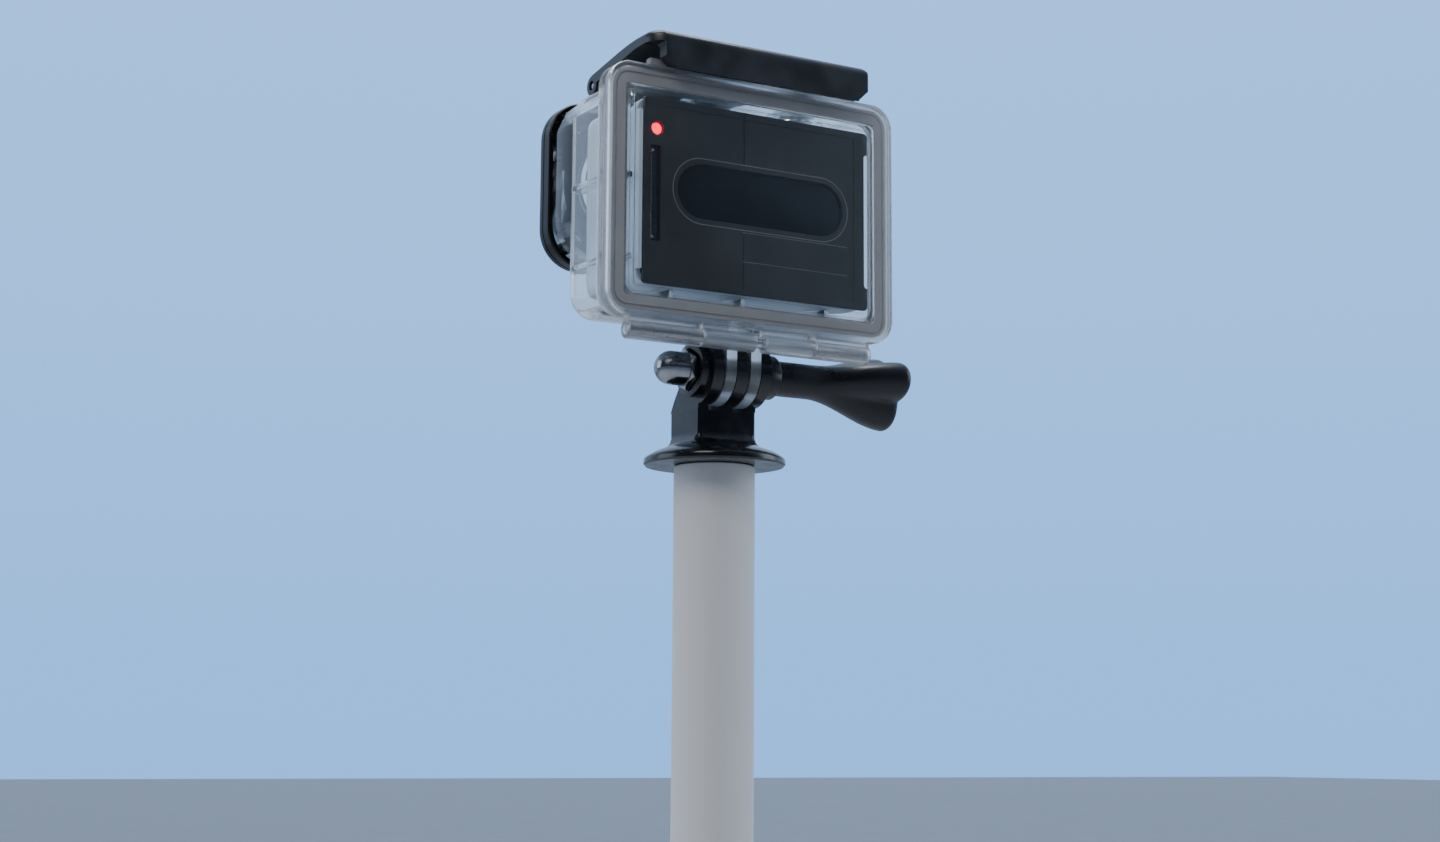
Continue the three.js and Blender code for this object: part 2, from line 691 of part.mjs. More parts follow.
// A box with its four long corners, its upright front corners and its front edges all rounded.
function roundedTub(inset, rear, uprightCorner) {
  const left = BODY_LEFT + inset;
  const right = BODY_RIGHT - inset;
  const bottom = BODY_BOTTOM + inset;
  const top = BODY_TOP - inset;
  const front = BODY_FRONT + inset;
  const middleX = (left + right) / 2;
  const middleZ = (bottom + top) / 2;
  const depth = 2 * (rear - front);
  const face = roundedRectangle(right - left, top - bottom, BODY_CORNER - inset, middleX, middleZ);
  const plan = roundedRectangle(right - left, depth, uprightCorner, middleX, rear);
  const side = roundedRectangle(depth, top - bottom, BODY_FRONT_EDGE - inset, rear, middleZ);
  return alongY(face, front, rear)
    .intersect(alongZ(plan, bottom - OVERRUN, top + OVERRUN))
    .intersect(alongX(side, left - OVERRUN, right + OVERRUN));
}

function lensBlockOutline(side, corner) {
  return roundedRectangle(side, side, corner, LENS_X, LENS_Z);
}

function bodyKnuckle([from, to]) {
  const web = polygon([
    [-FLANGE_THICK, FLANGE_BOTTOM + OVERRUN],
    [-FLANGE_THICK, FLANGE_BOTTOM - KNUCKLE_WEB_DROP],
    [HINGE_Y, HINGE_Z - BARREL_RADIUS],
    [HINGE_Y, HINGE_Z],
    [0, HINGE_Z + BARREL_RADIUS - KNUCKLE_WEB_SINK],
    [0, FLANGE_BOTTOM + OVERRUN],
  ]);
  return alongX(web, from, to).add(rodX(BARREL_RADIUS, from, to, HINGE_Y, HINGE_Z, SMALL_ROUND_STEPS));
}

function mountingFinger(offset) {
  const from = PIVOT_X + offset - FINGER_THICK / 2;
  const to = from + FINGER_THICK;
  const plate = block(
    from,
    to,
    PIVOT_Y - FINGER_RADIUS,
    PIVOT_Y + FINGER_RADIUS,
    PIVOT_Z,
    BODY_BOTTOM + OVERRUN,
  );
  return plate.add(rodX(FINGER_RADIUS, from, to, PIVOT_Y, PIVOT_Z));
}

function latchLug(from) {
  const base = polygon([
    [LATCH_PIVOT_Y - LUG_FOOT_AHEAD, BODY_TOP - OVERRUN],
    [LATCH_PIVOT_Y + LUG_FOOT_BEHIND, BODY_TOP - OVERRUN],
    [LATCH_PIVOT_Y + LUG_RADIUS, LATCH_PIVOT_Z],
    [LATCH_PIVOT_Y - LUG_RADIUS, LATCH_PIVOT_Z],
  ]);
  const to = from + LUG_WIDTH;
  return alongX(base, from, to).add(
    rodX(LUG_RADIUS, from, to, LATCH_PIVOT_Y, LATCH_PIVOT_Z, SMALL_ROUND_STEPS),
  );
}

function supportRibs() {
  const depthFrom = CAVITY_FRONT - OVERRUN;
  const depthTo = -FLANGE_THICK;
  const side = SIDE_RIB_HEIGHTS.map((height) =>
    block(
      CAMERA_SIDE + GAP,
      BODY_RIGHT - WALL + OVERRUN,
      depthFrom,
      depthTo,
      height - RIB_THICK / 2,
      height + RIB_THICK / 2,
    ),
  );
  const floor = FLOOR_RIB_PLACES.map((place) =>
    block(
      place - RIB_THICK / 2,
      place + RIB_THICK / 2,
      depthFrom,
      depthTo,
      BODY_BOTTOM + WALL - OVERRUN,
      -CAMERA_TOP - GAP,
    ),
  );
  return join([...side, ...floor]).intersect(roundedTub(WALL / 2, 0, BODY_FRONT_CORNER));
}

// The room inside the lens block, with a post left in each corner for its screw.
function lensBlockHollow() {
  const inside = lensBlockOutline(BLOCK_SIDE - 2 * WALL, BLOCK_CORNER - WALL);
  const from = BLOCK_FACE + BLOCK_FACE_THICK;
  const posts = screwPlaces().map(([x, z]) =>
    rodY(
      SCREW_SHANK_RADIUS + GAP + SCREW_POST_WALL,
      from - OVERRUN,
      screwEnd() + GAP + SCREW_POST_WALL,
      x,
      z,
      SMALL_ROUND_STEPS,
    ),
  );
  return alongY(inside, from, CAVITY_FRONT + OVERRUN).subtract(join(posts));
}

function housingBody() {
  const collarRadius = PLUNGER_RADIUS + PIN_GAP + COLLAR_WALL;
  const wellRadius = PLUNGER_RADIUS + PIN_GAP;
  const lensBlock = alongY(lensBlockOutline(BLOCK_SIDE, BLOCK_CORNER), BLOCK_FACE, CAVITY_FRONT);
  const catchRidge = block(
    LATCH_LEFT + CATCH_INSET,
    LATCH_RIGHT - CATCH_INSET,
    CATCH_FRONT,
    CATCH_REAR,
    FLANGE_TOP - OVERRUN,
    FLANGE_TOP + CATCH_RISE,
  );
  const outside = join([
    roundedTub(0, 0, BODY_FRONT_CORNER),
    alongY(flangeOutline(), -FLANGE_THICK, 0),
    lensBlock,
    catchRidge,
    ...FINGER_PLACES.map(mountingFinger),
    ...BODY_KNUCKLES.map(bodyKnuckle),
    ...LUG_PLACES.map(latchLug),
    rodZ(collarRadius, BODY_TOP - OVERRUN, BODY_TOP + COLLAR_HEIGHT, SHUTTER_X, SHUTTER_Y),
    rodY(collarRadius, BODY_FRONT - COLLAR_HEIGHT, BODY_FRONT + OVERRUN, MODE_X, MODE_Z),
  ]);
  const hollow = roundedTub(WALL, 0, CAVITY_FRONT_CORNER).add(
    alongY(
      roundedRectangle(
        BODY_RIGHT - BODY_LEFT - 2 * WALL,
        BODY_TOP - BODY_BOTTOM - 2 * WALL,
        BODY_CORNER - WALL,
        (BODY_LEFT + BODY_RIGHT) / 2,
        (BODY_BOTTOM + BODY_TOP) / 2,
      ),
      -OVERRUN,
      OVERRUN,
    ),
  );
  const bores = join([
    rodY(PORT_BORE_RADIUS, BLOCK_FACE - OVERRUN, CAVITY_FRONT + OVERRUN, LENS_X, LENS_Z),
    rodX(BOLT_HOLE_RADIUS, PIVOT_X - STACK_WIDTH, PIVOT_X + STACK_WIDTH, PIVOT_Y, PIVOT_Z),
    rodX(PIN_HOLE_RADIUS, BODY_LEFT, BODY_RIGHT, HINGE_Y, HINGE_Z, SMALL_ROUND_STEPS),
    rodX(
      LATCH_PIN_RADIUS + PIN_GAP,
      LUG_PLACES[0] - OVERRUN,
      LUG_PLACES[1] + LUG_WIDTH + OVERRUN,
      LATCH_PIVOT_Y,
      LATCH_PIVOT_Z,
      SMALL_ROUND_STEPS,
    ),
    rodZ(wellRadius, BODY_TOP, BODY_TOP + COLLAR_HEIGHT + OVERRUN, SHUTTER_X, SHUTTER_Y),
    rodY(wellRadius, BODY_FRONT - COLLAR_HEIGHT - OVERRUN, BODY_FRONT, MODE_X, MODE_Z),
    rodZ(STEM_RADIUS + PIN_GAP, CAVITY_TOP - OVERRUN, BODY_TOP + OVERRUN, SHUTTER_X, SHUTTER_Y),
    rodY(STEM_RADIUS + PIN_GAP, BODY_FRONT - OVERRUN, CAVITY_FRONT + OVERRUN, MODE_X, MODE_Z),
    rodZ(RING_BORE_RADIUS, CAVITY_TOP - OVERRUN, CAVITY_TOP + RING_BORE_DEPTH, SHUTTER_X, SHUTTER_Y),
    rodY(RING_BORE_RADIUS, CAVITY_FRONT - RING_BORE_DEPTH, CAVITY_FRONT + OVERRUN, MODE_X, MODE_Z),
    ...screwPlaces().map(([x, z]) =>
      rodY(
        SCREW_SHANK_RADIUS + GAP,
        BLOCK_FACE - OVERRUN,
        screwEnd() + GAP,
        x,
        z,
        SMALL_ROUND_STEPS,
      ),
    ),
  ]);
  const shell = outside
    .subtract(hollow)
    .subtract(lensBlockHollow())
    .add(supportRibs())
    .subtract(bores);
  return piece("housing_body", shell, clearPlastic());
}

// ---- lens port ----
function screwPlaces() {
  const places = [];
  for (const right of [-1, 1]) {
    for (const up of [-1, 1]) {
      places.push([LENS_X + right * SCREW_OFFSET, LENS_Z + up * SCREW_OFFSET]);
    }
  }
  return places;
}

function screwEnd() {
  return BEZEL_FACE + GAP + SCREW_LENGTH;
}

function lensBezel() {
  const rear = BLOCK_FACE - GAP;
  const plate = alongY(lensBlockOutline(BEZEL_SIDE, BEZEL_CORNER), BEZEL_FACE, rear);
  const opening = alongY(
    lensBlockOutline(GLASS_SIDE + 2 * GAP, GLASS_CORNER + GAP),
    BEZEL_FACE - OVERRUN,
    rear + OVERRUN,
  );
  const holes = join(
    screwPlaces().flatMap(([x, z]) => [
      rodY(
        SCREW_HEAD_RADIUS + GAP,
        BEZEL_FACE - OVERRUN,
        BEZEL_FACE + 2 * GAP + SCREW_HEAD_THICK,
        x,
        z,
        SMALL_ROUND_STEPS,
      ),
      rodY(SCREW_SHANK_RADIUS + GAP, BEZEL_FACE, rear + OVERRUN, x, z, SMALL_ROUND_STEPS),
    ]),
  );
  return piece("lens_bezel", plate.subtract(opening).subtract(holes), blackGlossPlastic());
}

function portGlass() {
  const pane = alongY(
    lensBlockOutline(GLASS_SIDE, GLASS_CORNER),
    GLASS_FACE,
    GLASS_FACE + GLASS_THICK,
  );
  return piece("port_glass", pane, lensGlass());
}

function portSeal() {
  const from = GLASS_FACE + GLASS_THICK + GAP;
  const to = BLOCK_FACE - GAP;
  const ring = alongY(lensBlockOutline(GLASS_SIDE, GLASS_CORNER), from, to).subtract(
    rodY(PORT_BORE_RADIUS, from - OVERRUN, to + OVERRUN, LENS_X, LENS_Z),
  );
  return piece("port_seal", ring, darkRubber());
}

function bezelScrews() {
  return screwPlaces().map(([x, z], index) => {
    const from = BEZEL_FACE + GAP;
    const head = rodY(SCREW_HEAD_RADIUS, from, from + SCREW_HEAD_THICK, x, z, SMALL_ROUND_STEPS);
    const shank = rodY(SCREW_SHANK_RADIUS, from + GAP, screwEnd(), x, z, SMALL_ROUND_STEPS);
    return piece(`bezel_screw_${index + 1}`, head.add(shank), steel());
  });
}

// ---- back door ----
function doorBarrel([from, to]) {
  const web = block(from, to, DOOR_INNER, DOOR_OUTER, HINGE_Z, FLANGE_BOTTOM + OVERRUN);
  return web.add(rodX(BARREL_RADIUS, from, to, HINGE_Y, HINGE_Z, SMALL_ROUND_STEPS));
}

function backDoor() {
  const plate = alongY(flangeOutline(), DOOR_INNER, DOOR_OUTER);
  const windowStep = alongY(flangeOutline(WINDOW_INSET), DOOR_OUTER - WINDOW_STEP, DOOR_OUTER + OVERRUN);
  const groove = alongY(
    flangeOutline(SEAL_INSET - GAP),
    DOOR_INNER - OVERRUN,
    DOOR_INNER + SEAL_THICK + GAP,
  ).subtract(alongY(flangeOutline(SEAL_INSET + SEAL_WIDTH + GAP), -2 * OVERRUN, DOOR_OUTER + OVERRUN));
  const pinHole = rodX(PIN_HOLE_RADIUS, BODY_LEFT, BODY_RIGHT, HINGE_Y, HINGE_Z, SMALL_ROUND_STEPS);
  const door = join([plate, ...DOOR_BARRELS.map(doorBarrel)])
    .subtract(windowStep)
    .subtract(groove)
    .subtract(pinHole);
  return piece("back_door", door, clearPlastic());
}

function doorSeal() {
  const ring = alongY(flangeOutline(SEAL_INSET), DOOR_INNER, DOOR_INNER + SEAL_THICK).subtract(
    alongY(flangeOutline(SEAL_INSET + SEAL_WIDTH), -OVERRUN, DOOR_OUTER),
  );
  return piece("door_seal", ring, sealRubber());
}

function hingePin() {
  const from = DOOR_BARRELS[1][0] + GAP;
  const to = DOOR_BARRELS[0][1] - GAP;
  const rod = rodX(HINGE_PIN_RADIUS, from, to, HINGE_Y, HINGE_Z, SMALL_ROUND_STEPS);
  return piece("hinge_pin", rod, steel());
}

// ---- latch ----
function latchProfile() {
  const barBottom = FLANGE_TOP + GAP;
  const wallFront = DOOR_OUTER - LATCH_HOOK_LAP;
  const barTop = LATCH_PEAK - LATCH_FALL;
  const shape = new THREE.Shape();
  shape.moveTo(wallFront, barBottom);
  shape.lineTo(DOOR_OUTER + GAP, barBottom);
  shape.lineTo(LATCH_REAR, barBottom - LATCH_HOOK_DROP);
  shape.lineTo(LATCH_REAR, LATCH_PEAK - LATCH_ROUND);
  shape.absarc(
    LATCH_REAR - LATCH_ROUND,
    LATCH_PEAK - LATCH_ROUND,
    LATCH_ROUND,
    0,
    Math.PI / 2,
    false,
  );
  shape.lineTo(BAR_FRONT, barTop);
  shape.lineTo(LATCH_PIVOT_Y, LATCH_PIVOT_Z + LATCH_BARREL_RADIUS);
  shape.lineTo(LATCH_PIVOT_Y, LATCH_PIVOT_Z + LATCH_BARREL_RADIUS - LATCH_PLATE);
  shape.lineTo(BAR_FRONT, barTop - LATCH_PLATE);
  shape.lineTo(wallFront, barTop - LATCH_PLATE);
  return shape;
}

function endChamfer(x, inward) {
  const size = LATCH_CHAMFER;
  const low = FLANGE_TOP - OVERRUN;
  return alongY(
    polygon(
      inward > 0
        ? [[x - OVERRUN, low], [x + size, low], [x - OVERRUN, low + size + OVERRUN]]
        : [[x + OVERRUN, low], [x + OVERRUN, low + size + OVERRUN], [x - size, low]],
    ),
    wallReach(),
    LATCH_REAR + OVERRUN,
  );
}

function wallReach() {
  return BAR_FRONT - OVERRUN;
}

function latch() {
  const plate = alongX(latchProfile(), LATCH_LEFT, LATCH_RIGHT);
  const barrel = rodX(
    LATCH_BARREL_RADIUS,
    ARM_LEFT,
    LATCH_RIGHT,
    LATCH_PIVOT_Y,
    LATCH_PIVOT_Z,
    SMALL_ROUND_STEPS,
  );
  const cutAway = block(
    LATCH_LEFT - OVERRUN,
    ARM_LEFT,
    LATCH_PIVOT_Y - LATCH_BARREL_RADIUS - OVERRUN,
    BAR_FRONT,
    BODY_TOP,
    LATCH_PEAK + OVERRUN,
  );
  const lugSlots = join(
    LUG_PLACES.map((from) =>
      rodX(LUG_CLEAR_RADIUS, from - GAP, from + LUG_WIDTH + GAP, LATCH_PIVOT_Y, LATCH_PIVOT_Z),
    ),
  );
  const pinHole = rodX(
    LATCH_PIN_RADIUS + PIN_GAP,
    ARM_LEFT - OVERRUN,
    LATCH_RIGHT + OVERRUN,
    LATCH_PIVOT_Y,
    LATCH_PIVOT_Z,
    SMALL_ROUND_STEPS,
  );
  const solid = plate
    .add(barrel)
    .subtract(cutAway)
    .subtract(lugSlots)
    .subtract(pinHole)
    .subtract(endChamfer(LATCH_LEFT, 1))
    .subtract(endChamfer(LATCH_RIGHT, -1));
  return piece("latch", solid, blackSatinPlastic());
}

function latchPin() {
  const rod = rodX(
    LATCH_PIN_RADIUS,
    ARM_LEFT + GAP,
    LATCH_RIGHT - GAP,
    LATCH_PIVOT_Y,
    LATCH_PIVOT_Z,
    SMALL_ROUND_STEPS,
  );
  return piece("latch_pin", rod, steel());
}

// ---- plungers: each is drawn upright on a wall whose outside is z = 0 ----
function plungerSolid(tip) {
  const under = PLUNGER_TRAVEL + 3 * GAP;
  const cap = rodZ(PLUNGER_RADIUS, under, under + PLUNGER_THICK, 0, 0);
  const stem = rodZ(STEM_RADIUS, tip, under + OVERRUN, 0, 0, SMALL_ROUND_STEPS);
  return cap.add(stem);
}

function ringSolid() {
  const thickness = (RING_BORE_RADIUS - STEM_RADIUS - GAP) / 2;
  const ring = new THREE.TorusGeometry(
    STEM_RADIUS + GAP / 2 + thickness,
    thickness,
    RING_SECTION_STEPS,
    SMALL_ROUND_STEPS,
  );
  ring.translate(0, 0, -WALL + RING_BORE_DEPTH - thickness - GAP / 2);
  return toSolid(ring);
}

function clipSolid() {
  const top = -WALL + CLIP_SINK + CLIP_THICK;
  return rodZ(CLIP_RADIUS, top - CLIP_THICK, top, 0, 0, SMALL_ROUND_STEPS).subtract(
    rodZ(STEM_RADIUS + CLIP_BORE_GAP, top - CLIP_THICK - OVERRUN, top + OVERRUN, 0, 0, SMALL_ROUND_STEPS),
  );
}

class Coil extends THREE.Curve {
  getPoint(t, target = new THREE.Vector3()) {
    const angle = t * SPRING_TURNS * 2 * Math.PI;
    const rise = SPRING_WIRE + GAP / 2 + t * (SPRING_HEIGHT - 2 * SPRING_WIRE - GAP / 2);
    return target.set(SPRING_RADIUS * Math.cos(angle), SPRING_RADIUS * Math.sin(angle), rise);
  }
}

function springSolid() {
  const section = new THREE.Shape();
  section.absarc(0, 0, SPRING_WIRE, 0, 2 * Math.PI, false);
  const geometry = new THREE.ExtrudeGeometry(section, {
    steps: ROUND_STEPS,
    curveSegments: COARSE_CORNER_STEPS,
    bevelEnabled: false,
    extrudePath: new Coil(),
  });
  return toSolid(geometry);
}

function plungerSet(name, tip) {
  const set = new THREE.Group();
  set.add(
    piece(`${name}_plunger`, plungerSolid(tip), silverPlastic()),
    piece(`${name}_o_ring`, ringSolid(), darkRubber()),
    piece(`${name}_clip`, clipSolid(), steel()),
    piece(`${name}_spring`, springSolid(), steel()),
  );
  return set;
}

function shutterPlungerSet() {
  const tip = CAMERA_TOP + SHUTTER_BUTTON_STAND + PLUNGER_LOST_MOTION - BODY_TOP;
  const set = plungerSet("shutter", tip);
  set.position.set(SHUTTER_X, SHUTTER_Y, BODY_TOP);
  return set;
}

function modePlungerSet() {
  const tip = BODY_FRONT - CAMERA_FRONT - MODE_BUTTON_SINK + PLUNGER_LOST_MOTION;
  const set = plungerSet("mode", tip);
  set.rotation.x = Math.PI / 2;
  set.position.set(MODE_X, BODY_FRONT, MODE_Z);
  return set;
}

// ---- tripod adapter ----
function prongProfile() {
  return polygon([
    [PIVOT_Y + BLOCK_REAR, PIVOT_Z],
    [PIVOT_Y - PRONG_RADIUS, PIVOT_Z],
    [PIVOT_Y - BLOCK_FRONT, PIVOT_Z - BLOCK_SHOULDER],
    [PIVOT_Y - BLOCK_FRONT, FOOT_BOTTOM + FOOT_RIM / 2],
    [PIVOT_Y + BLOCK_REAR, FOOT_BOTTOM + FOOT_RIM / 2],
  ]);
}

function adapterFoot() {
  const profile = [
    [0, 0],
    [FOOT_RADIUS - FOOT_CHAMFER, 0],
    [FOOT_RADIUS, FOOT_CHAMFER],
    [FOOT_RADIUS, FOOT_RIM - FOOT_CHAMFER],
    [FOOT_RADIUS - FOOT_CHAMFER, FOOT_RIM],
    [FOOT_RADIUS - FOOT_RIM_WIDTH, FOOT_RIM],
    [FOOT_RADIUS - FOOT_DISH_WIDTH, FOOT_RIM - FOOT_DISH],
    [0, FOOT_RIM - FOOT_DISH],
  ].map(([radius, height]) => new THREE.Vector2(radius, height));
  const disc = new THREE.LatheGeometry(profile, 2 * ROUND_STEPS);
  disc.rotateX(Math.PI / 2);
  disc.translate(PIVOT_X, FOOT_Y, FOOT_BOTTOM);
  return toSolid(disc);
}

function hexagon(flats, from, to) {
  const geometry = new THREE.CylinderGeometry(flats / Math.sqrt(3), flats / Math.sqrt(3), to - from, 6);
  geometry.rotateZ(Math.PI / 2);
  geometry.translate((from + to) / 2, PIVOT_Y, PIVOT_Z);
  return toSolid(geometry);
}

function tripodAdapter() {
  const half = STACK_WIDTH / 2;
  const right = PIVOT_X + half;
  const slotCut = PRONG_PITCH + FINGER_THICK / 2 + GAP;
  const slotStart = PRONG_PITCH - FINGER_THICK / 2 - GAP;
  const stack = join([
    alongX(prongProfile(), PIVOT_X - half, right),
    rodX(PRONG_RADIUS, PIVOT_X - half, right, PIVOT_Y, PIVOT_Z, 2 * ROUND_STEPS),
    rodX(BOSS_RADIUS, right - OVERRUN, right + BOSS_REACH, PIVOT_Y, PIVOT_Z),
    adapterFoot(),
  ]);
  const slots = [-1, 1].map((side) => {
    const inner = PIVOT_X + side * slotStart;
    const outer = PIVOT_X + side * slotCut;
    return block(
      Math.min(inner, outer),
      Math.max(inner, outer),
      PIVOT_Y - 2 * PRONG_RADIUS,
      PIVOT_Y + 2 * PRONG_RADIUS,
      PIVOT_Z - SLOT_FLOOR,
      PIVOT_Z + 2 * PRONG_RADIUS,
    );
  });
  const boltHole = rodX(BOLT_HOLE_RADIUS, PIVOT_X - half - OVERRUN, right + OVERRUN, PIVOT_Y, PIVOT_Z);
  const nutPocket = hexagon(
    NUT_FLATS + 2 * GAP,
    PIVOT_X + NUT_POCKET_FLOOR,
    right + BOSS_REACH + OVERRUN,
  );
  const insertPocket = rodZ(
    INSERT_RADIUS + GAP,
    FOOT_BOTTOM - OVERRUN,
    FOOT_BOTTOM + INSERT_LENGTH + 2 * GAP,
    PIVOT_X,
    FOOT_Y,
  );
  const solid = stack
    .subtract(join(slots))
    .subtract(boltHole)
    .subtract(nutPocket)
    .subtract(insertPocket);
  return piece("tripod_adapter", solid, blackGlossPlastic());
}

function threadedInsert() {
  const from = FOOT_BOTTOM + GAP;
  const to = FOOT_BOTTOM + GAP + INSERT_LENGTH;
  const bush = rodZ(INSERT_RADIUS, from, to, PIVOT_X, FOOT_Y).subtract(
    rodZ(INSERT_HOLE_RADIUS, from - OVERRUN, to - INSERT_CAP, PIVOT_X, FOOT_Y),
  );
  return piece("threaded_insert", bush, brass());
}

function acornNut() {
  const from = PIVOT_X + NUT_POCKET_FLOOR + GAP;
  const hexEnd = from + NUT_HEX_LENGTH;
  const tip = PIVOT_X + NUT_TIP;
  const reach = tip - hexEnd;
  const profile = [new THREE.Vector2(0, 0), new THREE.Vector2(NUT_DOME_RADIUS, 0)];
  const straight = reach - NUT_DOME_RADIUS;
  for (let step = 0; step <= CORNER_STEPS; step += 1) {
    const angle = (step / CORNER_STEPS) * (Math.PI / 2);
    const radius = step === CORNER_STEPS ? 0 : NUT_DOME_RADIUS * Math.cos(angle);
    profile.push(new THREE.Vector2(radius, OVERRUN + straight + NUT_DOME_RADIUS * Math.sin(angle)));
  }
  const dome = new THREE.LatheGeometry(profile, ROUND_STEPS);
  dome.rotateZ(-Math.PI / 2);
  dome.translate(hexEnd - OVERRUN, PIVOT_Y, PIVOT_Z);
  const bore = rodX(BOLT_HOLE_RADIUS, from - OVERRUN, from + NUT_BORE_DEPTH, PIVOT_Y, PIVOT_Z);
  return piece("acorn_nut", hexagon(NUT_FLATS, from, hexEnd).add(toSolid(dome)).subtract(bore), chrome());
}

// ---- thumbscrew ----
function knobSolid() {
  const start = STACK_WIDTH / 2 + GAP;
  const rings = [];
  rings.push({ at: start, low: KNOB_COLLAR_RADIUS, high: KNOB_COLLAR_RADIUS });
  rings.push({ at: start + KNOB_COLLAR_LENGTH, low: KNOB_COLLAR_RADIUS, high: KNOB_COLLAR_RADIUS });
  rings.push({
    at: start + KNOB_COLLAR_LENGTH + KNOB_COLLAR_STEP,
    low: KNOB_WAIST_RADIUS,
    high: KNOB_WAIST_RADIUS,
  });
  for (let index = 0; index <= KNOB_STATIONS; index += 1) {
    const at = KNOB_FLARE_START + (index / KNOB_STATIONS) * (KNOB_END - KNOB_EDGE - KNOB_FLARE_START);
    const grown = THREE.MathUtils.smoothstep(at, KNOB_FLARE_START, KNOB_FULL);
    rings.push({
      at,
      low: KNOB_WAIST_RADIUS + grown * (KNOB_VALLEY_RADIUS - KNOB_WAIST_RADIUS),
      high: KNOB_WAIST_RADIUS + grown * (KNOB_LOBE_RADIUS - KNOB_WAIST_RADIUS),
    });
  }
  rings.push({
    at: KNOB_END - KNOB_EDGE_BREAK,
    low: KNOB_VALLEY_RADIUS - KNOB_EDGE_BREAK,
    high: KNOB_LOBE_RADIUS - KNOB_EDGE_BREAK,
  });
  rings.push({
    at: KNOB_END,
    low: KNOB_VALLEY_RADIUS - KNOB_EDGE,
    high: KNOB_LOBE_RADIUS - KNOB_EDGE,
  });
  const positions = [];
  for (const ring of rings) {
    for (let step = 0; step < KNOB_ROUND_STEPS; step += 1) {
      const angle = (step / KNOB_ROUND_STEPS) * 2 * Math.PI;
      const fromLobe = angle - THREE.MathUtils.degToRad(KNOB_TURN);
      const lobe = (1 + Math.cos(KNOB_LOBES * fromLobe)) / 2;
      const radius = ring.low + (ring.high - ring.low) * lobe;
      positions.push(-ring.at, radius * Math.cos(angle), radius * Math.sin(angle));
    }
  }
  const last = rings.length - 1;
  positions.push(-rings[0].at, 0, 0, -rings[last].at, 0, 0);
  const nearMiddle = rings.length * KNOB_ROUND_STEPS;
  const farMiddle = nearMiddle + 1;
  const faces = [];
  for (let step = 0; step < KNOB_ROUND_STEPS; step += 1) {
    const next = (step + 1) % KNOB_ROUND_STEPS;
    for (let row = 0; row < last; row += 1) {
      const a = row * KNOB_ROUND_STEPS + step;
      const b = row * KNOB_ROUND_STEPS + next;
      const c = a + KNOB_ROUND_STEPS;
      const d = b + KNOB_ROUND_STEPS;
      faces.push(a, c, b, b, c, d);
    }
    faces.push(nearMiddle, step, next);
    const far = last * KNOB_ROUND_STEPS;
    faces.push(farMiddle, far + next, far + step);
  }
  const geometry = new THREE.BufferGeometry();
  geometry.setAttribute("position", new THREE.Float32BufferAttribute(positions, 3));
  geometry.setIndex(faces);
  geometry.translate(PIVOT_X, PIVOT_Y, PIVOT_Z);
  return toSolid(geometry);
}

function thumbscrewKnob() {
  const start = PIVOT_X - STACK_WIDTH / 2 - GAP;
  const bore = rodX(BOLT_HOLE_RADIUS, start - KNOB_BORE_DEPTH, start + OVERRUN, PIVOT_Y, PIVOT_Z);
  return piece("thumbscrew_knob", knobSolid().subtract(bore), blackGlossPlastic());
}

function clampBolt() {
  const from = PIVOT_X - STACK_WIDTH / 2 - KNOB_BORE_DEPTH;
  const to = PIVOT_X + NUT_POCKET_FLOOR + NUT_BORE_DEPTH - GAP;
  return piece("clamp_bolt", rodX(BOLT_RADIUS, from, to, PIVOT_Y, PIVOT_Z), steel());
}

// ---- the whole part ----
function camera() {
  const group = new THREE.Group();
  group.add(
    cameraFrontCover(),
    cameraFrame(),
    cameraBackPanel(),
    rearLight(),
    busConnector(),
    lensBarrel(),
    lensElement(),
    statusDisplay(),
    cameraShutterButton(),
    cameraModeButton(),
    mainBoard(),
    sensorBoard(),
    processorShield(),
    battery(),
  );
  return group;
}

function housing() {
  const group = new THREE.Group();
  group.add(
    housingBody(),
    lensBezel(),
    portGlass(),
    portSeal(),
    ...bezelScrews(),
    backDoor(),
    doorSeal(),
    hingePin(),
    latch(),
    latchPin(),
    shutterPlungerSet(),
    modePlungerSet(),
  );
  return group;
}

function mount() {
  const group = new THREE.Group();
  group.add(tripodAdapter(), threadedInsert(), acornNut(), clampBolt(), thumbscrewKnob());
  return group;
}

const assembly = new THREE.Group();
assembly.name = "action_camera_housed";
assembly.add(camera(), housing(), mount());
const bounds = new THREE.Box3().setFromObject(assembly, true);
const middle = bounds.getCenter(new THREE.Vector3());
assembly.position.set(-middle.x, -middle.y, -bounds.min.z);

const part = new THREE.Group();
part.name = "action_camera_part";
part.add(assembly);

export default part;
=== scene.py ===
"""Looks of an action camera in its clear waterproof housing, on a three-prong tripod adapter."""

import math

